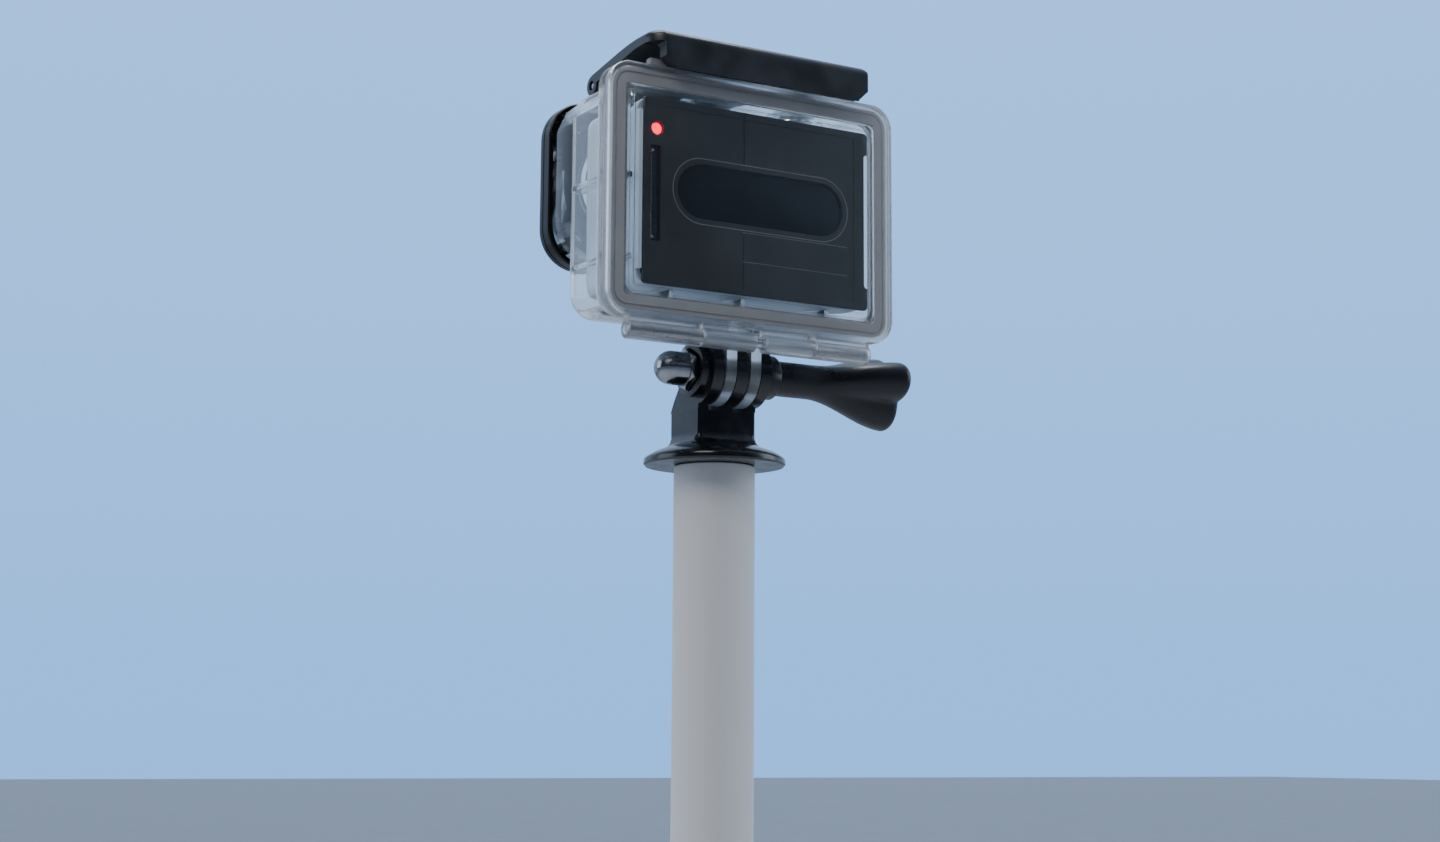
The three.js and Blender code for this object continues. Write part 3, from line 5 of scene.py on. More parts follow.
import bmesh
import bpy
import numpy as np
from mathutils import Matrix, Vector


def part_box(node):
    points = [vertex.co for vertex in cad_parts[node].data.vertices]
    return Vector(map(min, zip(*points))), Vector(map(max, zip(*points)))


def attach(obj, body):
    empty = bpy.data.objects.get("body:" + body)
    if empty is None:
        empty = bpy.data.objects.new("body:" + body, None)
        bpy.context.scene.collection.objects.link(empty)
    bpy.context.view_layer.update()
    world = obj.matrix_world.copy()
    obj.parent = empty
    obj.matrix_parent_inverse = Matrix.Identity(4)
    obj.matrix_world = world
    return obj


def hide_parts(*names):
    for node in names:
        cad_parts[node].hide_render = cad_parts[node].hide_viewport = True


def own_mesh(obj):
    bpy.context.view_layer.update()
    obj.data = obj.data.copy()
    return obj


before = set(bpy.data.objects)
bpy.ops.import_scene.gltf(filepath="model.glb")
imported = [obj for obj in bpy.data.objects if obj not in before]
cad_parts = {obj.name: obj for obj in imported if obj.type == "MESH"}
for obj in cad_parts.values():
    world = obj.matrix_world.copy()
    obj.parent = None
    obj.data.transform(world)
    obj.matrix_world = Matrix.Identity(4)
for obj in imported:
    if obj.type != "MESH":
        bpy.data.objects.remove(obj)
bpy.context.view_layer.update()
MM = 0.001

# Lengths below are millimetres from the middle of the camera's back face, where the CAD node says it is.
CAMERA_HALF_WIDTH = 29.5

# Places, each given on the two axes across its own line, and sizes that several pieces share.
HINGE = (1.5, -31.0)
PIVOT = (-9.6, -36.1)
LATCH_PIVOT = (-24.6, 29.2)
LENS_SPOT = np.array([15.3, 8.0])
SHUTTER_SPOT = (-17.5, -12.0)
MODE_SPOT = (-20.0, -6.0)
RECESS_SPOT = (-1.45, 1.2)
MOUNT_X = 1.2
FOOT_SPOT = (MOUNT_X, -14.6)
FOOT_BOTTOM = -56.3
TUB_X, TUB_Z = (-32.8, 35.2), (-25.7, 25.2)
TUB_FRONT = -24.0
WALL = 2.4
DOOR_SIZE = np.array([73.0, 55.2])
DOOR_CORNER = 5.5
FINGER_RADIUS, FINGER_STEP, FINGER_HALF = 7.5, 3.1, 1.3
PRONG_RADIUS = 7.35
LUG_STARTS, LUG_WIDTH = (3.0, 20.0), 4
RIB_HEIGHTS = (3.5, -14.5)
BOLT_HOLE, PIN_HOLE, LATCH_HOLE, SCREW_HOLE = 2.7, 1.3, 1.1, 1.2
PORT_RADIUS, BUTTON_HOLE, COLLAR_RADIUS, WELL_RADIUS = 11.7, 3.9, 6.5, 5.3
SCREWS = ("bezel_screw_1", "bezel_screw_2", "bezel_screw_3", "bezel_screw_4")
SHARP = 0.01  # a rim left as good as square
panel_low, panel_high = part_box("camera_back_panel")
ORIGIN = np.array(
    [panel_low.x / MM + CAMERA_HALF_WIDTH, panel_high.y / MM, (panel_low.z + panel_high.z) / 2 / MM]
)


def span(node):
    """Lowest and highest corner of a CAD node, in millimetres from ORIGIN."""
    low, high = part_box(node)
    return np.array(low) / MM - ORIGIN, np.array(high) / MM - ORIGIN


def centre_of(low, high):
    """The middle of a box across X and Z."""
    return (low[0] + high[0]) / 2, (low[2] + high[2]) / 2


def size_of(low, high):
    """The size of a box across X and Z."""
    return high[0] - low[0], high[2] - low[2]


# ---------------------------------------------------------------- surfaces
def solid(name, points, faces):
    """One closed mesh from an (n, 3) array of millimetres and its faces, turned to face outwards."""
    mesh = bpy.data.meshes.new(name)
    mesh.from_pydata(((points + ORIGIN) * MM).tolist(), [], faces)
    shape = bmesh.new()
    shape.from_mesh(mesh)
    bmesh.ops.remove_doubles(shape, verts=shape.verts, dist=1e-7)
    bmesh.ops.dissolve_degenerate(shape, edges=shape.edges, dist=1e-8)
    bmesh.ops.recalc_face_normals(shape, faces=shape.faces)
    shape.to_mesh(mesh)
    shape.free()
    piece = bpy.data.objects.new(name, mesh)
    bpy.context.scene.collection.objects.link(piece)
    return piece


def skin(name, rings, joined=False):
    """A skin over closed rings: corner (i, j) of the grid is point j of ring i, each quad joins rings i and
    i + 1. The first and last ring are closed flat, or joined to each other where the piece is a loop."""
    count, size, _ = rings.shape
    index = np.arange(count * size).reshape(count, size)
    here = index if joined else index[:-1]
    there = np.roll(index, -1, axis=0) if joined else index[1:]
    quads = np.stack([here, np.roll(here, -1, 1), np.roll(there, -1, 1), there], axis=-1)
    faces = quads.reshape(-1, 4).tolist()
    if not joined:
        faces += [index[0][::-1].tolist(), index[-1].tolist()]
    return solid(name, rings.reshape(-1, 3), faces)


def rounded(width, height, radius, steps=10):
    """A rounded rectangle round (0, 0): each corner is its own centre plus radius * (cos t, sin t)."""
    turn = np.linspace(0, np.pi / 2, steps + 1)
    angle = (turn[None, :] + np.arange(4)[:, None] * np.pi / 2).ravel()
    across = np.repeat([1, -1, -1, 1], steps + 1) * (width / 2 - radius)
    up = np.repeat([1, 1, -1, -1], steps + 1) * (height / 2 - radius)
    return np.stack([across + radius * np.cos(angle), up + radius * np.sin(angle)], axis=1)


def upright(outline, depth, axis="y"):
    """An (n, 2) outline set at one depth along an axis, as (n, 3)."""
    level = np.full(len(outline), depth)
    order = {"x": (level, outline[:, 0], outline[:, 1]), "y": (outline[:, 0], level, outline[:, 1])}
    return np.stack(order.get(axis, (outline[:, 0], outline[:, 1], level)), axis=1)


def quarter(edge, steps=4):
    """A quarter round of radius edge: inset = edge * (1 - sin t) and depth = edge * (1 - cos t), with t
    running to 90 degrees."""
    turn = np.linspace(0, np.pi / 2, steps + 1)
    return edge * (1 - np.sin(turn)), edge * (1 - np.cos(turn))


def slab(name, size, radius, centre, near, far, edge=0.3, axis="y", steps=10):
    """A rounded rectangle carried from near to far, whose two rims are quarter rounds of radius edge."""
    inset, depth = quarter(edge)
    insets = np.concatenate([inset, inset[::-1]])
    levels = np.concatenate([near + depth, far - depth[::-1]])
    rings = [
        upright(rounded(size[0] - 2 * i, size[1] - 2 * i, max(radius - i, 0.05), steps) + centre, d, axis)
        for i, d in zip(insets, levels)
    ]
    return skin(name, np.array(rings))


def slab_of(name, node, radius, edge=0.3, axis="y", grow=0.0, steps=10):
    """A slab that fills a CAD node's box."""
    low, high = span(node)
    a, b, d = {"x": (1, 2, 0), "y": (0, 2, 1), "z": (0, 1, 2)}[axis]
    size = (high[a] - low[a] + 2 * grow, high[b] - low[b] + 2 * grow)
    centre = ((high[a] + low[a]) / 2, (high[b] + low[b]) / 2)
    return slab(name, size, radius, centre, low[d], high[d], edge, axis, steps)


def band(name, size, radius, centre, profile, axis="y", steps=10):
    """A closed profile of (inset, depth) carried round a rounded rectangle: a frame, gasket or rim."""
    rings = [
        upright(rounded(size[0] - 2 * i, size[1] - 2 * i, max(radius - i, 0.05), steps) + centre, d, axis)
        for i, d in profile
    ]
    return skin(name, np.array(rings), joined=True)


def turned(name, profile, centre, axis, steps=72, joined=False):
    """A profile of (radius, distance along the axis) turned about it: radius * (cos t, sin t)."""
    angle = np.linspace(0, 2 * np.pi, steps, endpoint=False)
    circle = np.stack([np.cos(angle), np.sin(angle)], axis=1)
    rings = [upright(max(r, 1e-4) * circle + centre, d, axis) for r, d in profile]
    return skin(name, np.array(rings), joined)


def rod(name, radius, near, far, centre, axis, edge=0.2, steps=48):
    """A round bar with quarter-round rims."""
    inset, depth = quarter(edge, 3)
    profile = [(radius - i, near + d) for i, d in zip(inset, depth)]
    profile += [(radius - i, far - d) for i, d in zip(inset[::-1], depth[::-1])]
    return turned(name, profile, centre, axis, steps)


def prism(name, outline, near, far, axis):
    """Any outline carried straight from near to far."""
    outline = np.array(outline, float)
    return skin(name, np.array([upright(outline, near, axis), upright(outline, far, axis)]))


def arc(centre, radius, start, end, steps=10):
    """Points of a circular arc between two angles in degrees."""
    turn = np.radians(np.linspace(start, end, steps + 1))
    return [(centre[0] + radius * c, centre[1] + radius * s) for c, s in zip(np.cos(turn), np.sin(turn))]


def worked(piece, tools, how="DIFFERENCE"):
    """The piece with each tool cut from it, or joined to it, as one mesh."""
    for tool in tools:
        step = piece.modifiers.new("step", "BOOLEAN")
        step.operation = how
        step.solver = "EXACT"
        step.object = tool
    bpy.context.view_layer.update()
    seen = piece.evaluated_get(bpy.context.evaluated_depsgraph_get())
    mesh = bpy.data.meshes.new_from_object(seen)
    piece.modifiers.clear()
    piece.data = mesh
    for tool in tools:
        bpy.data.objects.remove(tool)
    return piece


def done(piece, material, body, nodes=(), bevel=0.0, smooth=32):
    """Rides the piece on its body with its finish; bevel rounds its remaining edges, in millimetres."""
    mesh = piece.data
    mesh.materials.clear()
    mesh.materials.append(material)
    mesh.shade_smooth()
    mesh.set_sharp_from_angle(angle=math.radians(smooth))
    if bevel:
        rim = piece.modifiers.new("rim", "BEVEL")
        rim.width = bevel * MM
        rim.segments = 3
        rim.limit_method = "ANGLE"
        rim.angle_limit = math.radians(smooth)
        rim.harden_normals = True
        rim.use_clamp_overlap = True
    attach(piece, body)
    if nodes:
        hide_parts(*nodes)
    return piece


# ---------------------------------------------------------------- finishes
SCRATCH_MM = 0.35  # real scratches are finer; drawn this wide so that they show


def linear(colour):
    """An sRGB hex colour as linear red, green, blue, 1."""
    value = np.array([int(colour[i : i + 2], 16) for i in (1, 3, 5)]) / 255
    light = np.where(value <= 0.04045, value / 12.92, ((value + 0.055) / 1.055) ** 2.4)
    return (*light.tolist(), 1.0)


def add(tree, kind, links=None, **settings):
    """A node with its settings, and its inputs set to values or linked to sockets."""
    made = tree.nodes.new(kind)
    for name, value in settings.items():
        setattr(made, name, value)
    for name, value in (links or {}).items():
        if isinstance(value, bpy.types.NodeSocket):
            tree.links.new(value, made.inputs[name])
        else:
            made.inputs[name].default_value = value
    return made


def started(name):
    """An empty material and its output node."""
    material = bpy.data.materials.new(name)
    material.use_nodes = True
    tree = material.node_tree
    tree.nodes.clear()
    return material, tree, add(tree, "ShaderNodeOutputMaterial")


def opaque(name, base, worn, rough, grain_mm, grain_depth, metallic=0.0, coat=0.0, cloud_mm=9.0,
           stretch=(1, 1, 1), scratch=0.0, emission=None, shine=0.5):
    """Base colour clouded towards worn, roughness between rough[0] and rough[1], and a grain in relief."""
    material, tree, output = started(name)
    place = add(tree, "ShaderNodeTexCoord").outputs["Object"]
    drawn = add(tree, "ShaderNodeMapping", {"Vector": place, "Scale": stretch}).outputs["Vector"]
    cloud = add(
        tree, "ShaderNodeTexNoise", {"Vector": place, "Scale": 1 / (cloud_mm * MM), "Detail": 3.0}
    ).outputs["Fac"]
    grain = add(
        tree, "ShaderNodeTexNoise", {"Vector": drawn, "Scale": 1 / (grain_mm * MM), "Detail": 4.0}
    ).outputs["Fac"]
    rubbed = add(tree, "ShaderNodeMapRange", {"Value": cloud, "From Min": 0.35, "From Max": 0.75})
    wear = rubbed.outputs["Result"]
    colour = add(
        tree, "ShaderNodeMix", {0: wear, 6: linear(base), 7: linear(worn)}, data_type="RGBA"
    ).outputs[2]
    sheen = add(
        tree,
        "ShaderNodeMapRange",
        {"Value": cloud, "From Min": 0.3, "From Max": 0.7, "To Min": rough[0], "To Max": rough[1]},
    ).outputs["Result"]
    height = grain
    if scratch:
        drawn = add(tree, "ShaderNodeMapping", {"Vector": place, "Scale": (1, 0.04, 0.3)}).outputs["Vector"]
        line = add(
            tree, "ShaderNodeTexNoise", {"Vector": drawn, "Scale": 1 / (SCRATCH_MM * MM), "Detail": 2.0}
        ).outputs["Fac"]
        cut = add(
            tree,
            "ShaderNodeMapRange",
            {"Value": line, "From Min": 0.66, "From Max": 0.72, "To Max": -scratch},
        ).outputs["Result"]
        height = add(tree, "ShaderNodeMath", {0: grain, 1: cut}, operation="ADD").outputs[0]
    relief = add(
        tree, "ShaderNodeBump", {"Height": height, "Strength": 0.6, "Distance": grain_depth * MM}
    ).outputs["Normal"]
    shader = add(
        tree,
        "ShaderNodeBsdfPrincipled",
        {
            "Base Color": colour,
            "Roughness": sheen,
            "Metallic": metallic,
            "Normal": relief,
            "Specular IOR Level": shine,
            "Coat Weight": coat,
            "Coat Roughness": 0.08,
        },
    )
    if emission:
        shader.inputs["Emission Color"].default_value = linear(emission[0])
        shader.inputs["Emission Strength"].default_value = emission[1]
    tree.links.new(shader.outputs[0], output.inputs["Surface"])
    return material


def clear(name, tint, roughness, ior, scuff_mm, scuff_depth):
    """Clear stuff that bends light, lets lamps through, and carries fine scuffs in relief."""
    material, tree, output = started(name)
    place = add(tree, "ShaderNodeTexCoord").outputs["Object"]
    drawn = add(tree, "ShaderNodeMapping", {"Vector": place, "Scale": (1, 1, 0.35)}).outputs["Vector"]
    scuff = add(
        tree, "ShaderNodeTexNoise", {"Vector": drawn, "Scale": 1 / (scuff_mm * MM), "Detail": 5.0}
    ).outputs["Fac"]
    relief = add(tree, "ShaderNodeBump", {"Height": scuff, "Strength": 0.5, "Distance": scuff_depth * MM})
    shader = add(
        tree,
        "ShaderNodeBsdfPrincipled",
        {
            "Base Color": linear(tint),
            "Roughness": roughness,
            "Transmission Weight": 1.0,
            "IOR": ior,
            "Normal": relief.outputs["Normal"],
        },
    )
    through = add(tree, "ShaderNodeBsdfTransparent", {"Color": linear(tint)})
    path = add(tree, "ShaderNodeLightPath")
    mixed = add(tree, "ShaderNodeMixShader", {"Fac": path.outputs["Is Shadow Ray"]})
    tree.links.new(shader.outputs[0], mixed.inputs[1])
    tree.links.new(through.outputs[0], mixed.inputs[2])
    tree.links.new(mixed.outputs[0], output.inputs["Surface"])
    return material


# Injection-moulded polycarbonate: colourless, bright at its rims, lightly scuffed by handling.
POLYCARBONATE = clear("clear_polycarbonate_moulded", "#f1f5f7", 0.02, 1.585, 6.0, 0.01)
# The same polycarbonate where its mould was blasted: frosted fingers, hinge barrels and catch.
FROSTED = clear("clear_polycarbonate_frosted", "#e6eaee", 0.3, 1.585, 3.0, 0.01)
# The same where handling and sea salt have hazed it: the door's frame and the flange.
HAZED = clear("clear_polycarbonate_hazed", "#dddee0", 0.27, 1.585, 3.0, 0.006)
# The lens block: the black parts that fill it make its thick walls look smoked; its grey tint is painted
# shade standing in for that darkness, as the plastic itself is clear.
LENS_BLOCK_SHADE_TINT = clear("clear_polycarbonate_lens_block_painted_shade", "#a4a7aa", 0.05, 1.585, 6.0, 0.006)
# Optical port glass: flat, polished, with a faint cool coating.
PORT_GLASS = clear("port_glass_polished", "#e9f1f4", 0.0, 1.52, 20.0, 0.002)
# Coated lens glass: polished, with a violet-blue cast.
LENS_GLASS = clear("lens_glass_coated", "#b9c7e6", 0.0, 1.6, 20.0, 0.0)
# The catch ridge's mould was blasted so deep that the plastic looks white-grey, not clear.
BLASTED = opaque("polycarbonate_blasted", "#8f9298", "#a1a4a9", (0.45, 0.6), 0.3, 0.004)
# Glass-filled nylon, moulded with a fine spark-eroded grain and scuffed: latch.
LATCH_NYLON = opaque("latch_nylon_grained", "#17191d", "#22252b", (0.3, 0.46), 0.35, 0.004, scratch=0.35)
# Polished ABS with handling marks: the adapter shows soft blue-grey reflections.
GLOSS_ABS = opaque("adapter_abs_polished", "#0e0f12", "#16181c", (0.12, 0.3), 1.2, 0.002, cloud_mm=5.0)
# The bezel is the same plastic from a finely blasted mould: black, with only a dull sheen along its edges.
BEZEL_ABS = opaque(
    "bezel_abs_blasted", "#0d0c0e", "#151316", (0.22, 0.36), 0.5, 0.002, cloud_mm=6.0, shine=0.22
)
# Moulded nylon, worn smooth by fingers: black with soft, broad highlights on its lobes.
KNOB_NYLON = opaque(
    "knob_nylon_moulded", "#0e0f13", "#15161b", (0.24, 0.4), 0.6, 0.003, cloud_mm=6.0, shine=0.35
)
# Painted magnesium-look panel with a soft satin: the camera's back.
PANEL_PAINT = opaque("panel_satin_paint", "#272729", "#2d2e30", (0.34, 0.46), 0.3, 0.0015, cloud_mm=12.0)
# Polished plastic film: near black, with a sharper shine than the paint round it.
RECESS_FILM = opaque("recess_gloss_film", "#0e1016", "#12151d", (0.12, 0.2), 2.0, 0.0004)
# Silver paint on moulded plastic: pale, a little metallic, softly lit at its edges; its blue cast is a
# painted reflection of the sky.
SILVER_WITH_PAINTED_SKY = opaque("silver_band_with_painted_sky_reflection", "#c3d2e3", "#cfdbe9", (0.3, 0.42), 0.12, 0.002, metallic=0.2)
# Moulded silicone: milky grey and dull.
SILICONE = opaque("seal_silicone_moulded", "#a6a5a6", "#b2b1b2", (0.5, 0.65), 0.5, 0.01)
# Moulded rubber: matt black, with hardly a highlight.
BLACK_RUBBER = opaque("black_rubber_moulded", "#17181b", "#222326", (0.6, 0.8), 0.5, 0.02)
# Turned stainless steel: its tool marks draw the highlights out along X.
STEEL = opaque(
    "stainless_steel_turned", "#b4b6b8", "#9a9da0", (0.18, 0.36), 0.3, 0.01, 1.0, stretch=(0.05, 1, 1)
)
# Chrome plate with water spots: a near mirror, darker where it is dull.
CHROME = opaque("nut_chrome_plated", "#96989c", "#777a7e", (0.08, 0.2), 1.5, 0.002, 1.0, cloud_mm=3.0)
# Machined brass: warm yellow, browned in its hollows.
BRASS = opaque("insert_brass_machined", "#b8954f", "#8f7238", (0.25, 0.4), 0.3, 0.01, 1.0)
# Cured solder mask: a dark green with a half gloss.
SOLDER_MASK = opaque("board_solder_mask", "#12402c", "#1a5238", (0.3, 0.45), 0.8, 0.02)
# Shrunk plastic film: dark grey, satin.
BATTERY_FILM = opaque("battery_printed_film", "#2a2c31", "#33363c", (0.35, 0.5), 0.8, 0.01)
# Pad-printed ink, a thin matt film on the panel.
GREY_INK = opaque("grey_ink_pad_printed", "#70757b", "#5d6268", (0.5, 0.6), 0.2, 0.001)
# Smoked glass under a hard coat: dark grey with a clean reflection.
DISPLAY = opaque("display_glass_smoked", "#3a4046", "#434a50", (0.06, 0.1), 3.0, 0.001, coat=0.5)
# Lit diffusing plastic: an even red glow that hides its own shading.
LAMP = opaque("record_lamp_lit", "#ff3320", "#ff5038", (0.2, 0.3), 1.0, 0.002, emission=("#ff1428", 4.0))
# Thin gold plate whose colour is darkened to a dull brown-gold as painted shade of the slot it sits in.
GOLD_WITH_PAINTED_SHADE = opaque("contacts_gold_painted_shade", "#4a4237", "#38322a", (0.3, 0.4), 0.5, 0.001, 1.0)

# ---------------------------------------------------------------- camera
BODY = "housing"


def back_panel():
    """Painted panel: a slab with a stadium recess ringed by a printed hairline, a connector slot, a lamp
    hole, a hairline seam above and below the recess, and a shallow notch along its far edge."""
    low, high = span("camera_back_panel")
    centre = centre_of(low, high)
    size = size_of(low, high)
    panel = slab("panel", size, 0.9, centre, low[1], high[1], 0.25)
    spot = RECESS_SPOT
    tools = [
        slab("recess", (42.7, 12.2), 6.05, spot, -0.6, 1.0, 0.05, steps=20),
        slab("slot", (2.6, 21.0), 0.5, (25.4, -0.6), low[1] - 1, 1.0, 0.05),
        rod("lamp_hole", 1.5, low[1] - 1, 1.0, (25.0, 13.7), "y", SHARP),
        slab("notch", (2.0, 31.0), 0.8, (low[0], 0), low[1] - 1, 1.0, 0.05),
        slab("seam_up", (0.22, 11.6), 0.05, (3.3, 14.3), -0.2, 1.0, 0.02),
        slab("seam_down", (0.22, 13.2), 0.05, (3.3, -12.6), -0.2, 1.0, 0.02),
        slab("margin", (0.22, 37.6), 0.05, (-25.7, 0), -0.15, 1.0, 0.02),
        slab("margin_top", (51.0, 0.22), 0.05, (-0.2, 18.7), -0.12, 1.0, 0.02),
    ]
    done(worked(panel, tools), PANEL_PAINT, BODY, ["camera_back_panel"])
    film = slab("recess_film", (42.3, 11.8), 5.85, spot, -0.62, -0.52, 0.03, steps=20)
    done(film, RECESS_FILM, BODY)
    print_line = [(0, -0.02), (0, 0.03), (0.2, 0.03), (0.2, -0.02)]
    ring = band("ring_print", (45.3, 14.8), 7.35, spot, print_line, steps=20)
    rules = [slab("rule", (27.6, 0.14), 0.05, (-10.1, z), -0.02, 0.03, 0.01, steps=2) for z in (-6.6, -13.1)]
    done(worked(ring, rules, "UNION"), GREY_INK, BODY)


def bus_connector():
    """A moulded strip with a row of sprung contacts standing in it."""
    strip = slab_of("bus_strip", "bus_connector", 0.4, 0.15)
    done(strip, LATCH_NYLON, BODY, ["bus_connector"])
    low, high = span("bus_connector")
    middle = (low[0] + high[0]) / 2
    rungs = np.linspace(low[2] + 1.2, high[2] - 1.2, 15)
    contacts = [
        slab(f"rung{i}", (0.9, 0.4), 0.1, (middle, z), high[1] - 0.3, high[1] + 0.05, 0.05, steps=2)
        for i, z in enumerate(rungs)
    ]
    first = worked(contacts[0], contacts[1:], "UNION")
    first.name = "bus_contacts"
    done(first, GOLD_WITH_PAINTED_SHADE, BODY)
    spot = (high[0] - 0.25, 0.5 * (low[2] + high[2]))
    edge = slab(
        "bus_edge", (0.16, high[2] - low[2] - 1.6), 0.05, spot, high[1] - 0.3, high[1] + 0.1, 0.03, steps=2
    )
    rivets = [
        rod("rivet", 0.38, high[1] - 0.3, high[1] + 0.16, (high[0] - 0.5, z), "y", 0.12, 24)
        for z in (low[2] + 0.7, high[2] - 0.7)
    ]
    done(worked(edge, rivets, "UNION"), STEEL, BODY)


def record_lamp():
    """A light pipe with a domed face."""
    low, high = span("record_light")
    radius = (high[0] - low[0]) / 2
    centre = centre_of(low, high)
    t = np.linspace(0, np.pi / 2, 8)
    dome = [(radius * np.cos(a), high[1] - 0.5 + 0.5 * np.sin(a)) for a in t]
    lens = turned("record_lamp", [(radius, low[1]), *dome], centre, "y", 40)
    done(lens, LAMP, BODY, ["record_light"])


def camera_shells():
    """The silver band round the camera, its edge strip beside the panel, and the front cover."""
    low, high = span("camera_frame")
    size = size_of(low, high)
    rear = span("camera_back_panel")[0][1] - 0.3
    profile = [(0, low[1] + 0.2), (0, rear - 0.2), (0.2, rear), (1.2, rear), (1.2, low[1]), (0.2, low[1])]
    ring = band("camera_band", size, 3.0, (0, 0), profile)
    strip_low = span("camera_back_panel")[1][0] + 0.3
    strip_size = (high[0] - strip_low, size[1] - 6)
    strip = slab("strip", strip_size, 0.3, ((high[0] + strip_low) / 2, 0), rear - 0.8, high[1], 0.12)
    ring = worked(ring, [strip], "UNION")
    low_b, high_b = span("camera_shutter_button")
    spot = ((low_b[0] + high_b[0]) / 2, (low_b[1] + high_b[1]) / 2)
    hole = rod("hole", BUTTON_HOLE, 15, 25, spot, "z", SHARP)
    done(worked(ring, [hole]), SILVER_WITH_PAINTED_SKY, BODY, ["camera_frame"])

    low, high = span("camera_front_cover")
    cover = slab_of("camera_face", "camera_front_cover", 3.0, 0.5)
    lens_low, lens_high = span("lens_barrel")
    lens = centre_of(lens_low, lens_high)
    show_low, show_high = span("status_display")
    show = centre_of(show_low, show_high)
    show_size = (show_high[0] - show_low[0] + 0.6, show_high[2] - show_low[2] + 0.6)
    mode_low, mode_high = span("camera_mode_button")
    mode = centre_of(mode_low, mode_high)
    lens_radius = (lens_high[0] - lens_low[0]) / 2 + 0.3
    near, far = low[1] - 1, high[1] + 1
    tools = [
        rod("lens_hole", lens_radius, near, far, lens, "y", SHARP, 72),
        slab("show_hole", show_size, 1.0, show, near, far, 0.02),
        rod("mode_hole", BUTTON_HOLE, near, far, mode, "y", SHARP),
    ]
    done(worked(cover, tools), SILVER_WITH_PAINTED_SKY, BODY, ["camera_front_cover"])
    pane = slab_of("display_pane", "status_display", 0.8, 0.1)
    done(pane, DISPLAY, BODY, ["status_display"])


def camera_lens():
    """A stepped barrel with fine front rings, and a domed element: height = bulge * (1 - (r / edge) ** 2)."""
    low, high = span("lens_barrel")
    centre = centre_of(low, high)
    radius, front, rear = (high[0] - low[0]) / 2, low[1], high[1]
    floor = front + 5.5
    steps = np.linspace(front + 0.5, floor - 0.2, 7)
    baffle = [
        (8.9 - 1.3 * i / 6 - 0.18 * step, y + 0.28 * step) for i, y in enumerate(steps) for step in (0, 1)
    ]
    profile = [(radius - 0.5, front), (radius, front + 0.5), (radius, -19.0), (7.5, -19.0), (7.5, rear),
               (0, rear), (0, floor), (7.45, floor), *baffle[::-1], (9.3, front)]
    barrel = turned("lens_barrel_turned", profile, centre, "y", 96, joined=True)
    done(barrel, LATCH_NYLON, BODY, ["lens_barrel"])
    e_low, e_high = span("lens_element")
    edge = (e_high[0] - e_low[0]) / 2
    across = np.linspace(1, 0, 14)
    flat = e_high[1] - 1.5
    dome = [(edge * a, flat - (flat - e_low[1]) * (1 - a * a)) for a in across]
    element = turned("front_element", [(0, e_high[1]), (edge, e_high[1]), *dome], centre, "y", 72)
    done(element, LENS_GLASS, BODY, ["lens_element"])


def camera_buttons():
    """Dished caps: the face sinks as a * r ** 2 towards the middle."""
    for name, node, body, axis, outward in (
        ("shutter_cap", "camera_shutter_button", "shutter_button", "z", 1),
        ("mode_cap", "camera_mode_button", "mode_button", "y", -1),
    ):
        low, high = span(node)
        a, b, d = {"y": (0, 2, 1), "z": (0, 1, 2)}[axis]
        centre = ((low[a] + high[a]) / 2, (low[b] + high[b]) / 2)
        radius = (high[a] - low[a]) / 2
        face, back = (high[d], low[d]) if outward > 0 else (low[d], high[d])
        across = np.linspace(1, 0, 9)
        dish = [((radius - 0.3) * x, face - outward * 0.15 * (1 - x * x)) for x in across]
        side = [(0, back), (radius, back), (radius, face - outward * 0.3)]
        cap = turned(name, [*side, *dish], centre, axis, 60)
        done(cap, SILVER_WITH_PAINTED_SKY, body, [node])


# ---------------------------------------------------------------- clear housing
def tub(name, inset, rear):
    """A tub open to the rear: ring t has half width w - a(1 - sin t), half height h - b(1 - sin t), and lies
    c(1 - cos t) behind the front, so the front rim rounds more at its sides than above and below."""
    width, height = TUB_X[1] - TUB_X[0] - 2 * inset, TUB_Z[1] - TUB_Z[0] - 2 * inset
    centre = np.array([sum(TUB_X) / 2, sum(TUB_Z) / 2])
    side, top, deep, corner = (6.5, 4.0, 5.5, 6.0) if not inset else (1.2, 1.4, 1.3, 3.6)
    turn = np.linspace(0, np.pi / 2, 13 if not inset else 7)
    rings = [
        upright(
            rounded(width - 2 * side * (1 - np.sin(t)), height - 2 * top * (1 - np.sin(t)),
                    max(corner - top * (1 - np.sin(t)), 1.0), 14) + centre,
            TUB_FRONT + inset + deep * (1 - np.cos(t)),
        )
        for t in turn
    ]
    rings.append(upright(rounded(width, height, corner, 14) + centre, rear))
    return skin(name, np.array(rings))


def knuckle(name, near, far, body_side):
    """One hinge barrel with the web that carries it."""
    barrel = rod(name, 2.1, near, far, HINGE, "x", 0.15)
    if body_side:
        web = [(-2.6, -27.0), (-2.6, -29.6), (1.5, -33.1), (1.5, -31), (0.0, -29.3), (0.0, -27.0)]
    else:
        web = [(0.3, -27.0), (0.3, -31.0), (2.7, -31.0), (2.7, -27.0)]
    return worked(barrel, [prism("web", web, near + 0.05, far - 0.05, "x")], "UNION")


def fingers():
    """Two mounting fingers: a straight plate closed by a half round; the bolt's hole is bored through them
    with the body.
    """
    plates = []
    y, z = PIVOT
    outline = [(y + FINGER_RADIUS, -25.0), (y + FINGER_RADIUS, z)]
    outline += arc(PIVOT, FINGER_RADIUS, 0, -180, 36)[1:]
    outline += [(y - FINGER_RADIUS, -25.0)]
    for middle in (MOUNT_X - FINGER_STEP, MOUNT_X + FINGER_STEP):
        plates.append(prism("finger", outline, middle - FINGER_HALF, middle + FINGER_HALF, "x"))
    return plates


def face_middles(mesh):
    """The middle of every face, in millimetres from ORIGIN."""
    middle = np.empty(3 * len(mesh.polygons))
    mesh.polygons.foreach_get("center", middle)
    return middle.reshape(-1, 3) / MM - ORIGIN


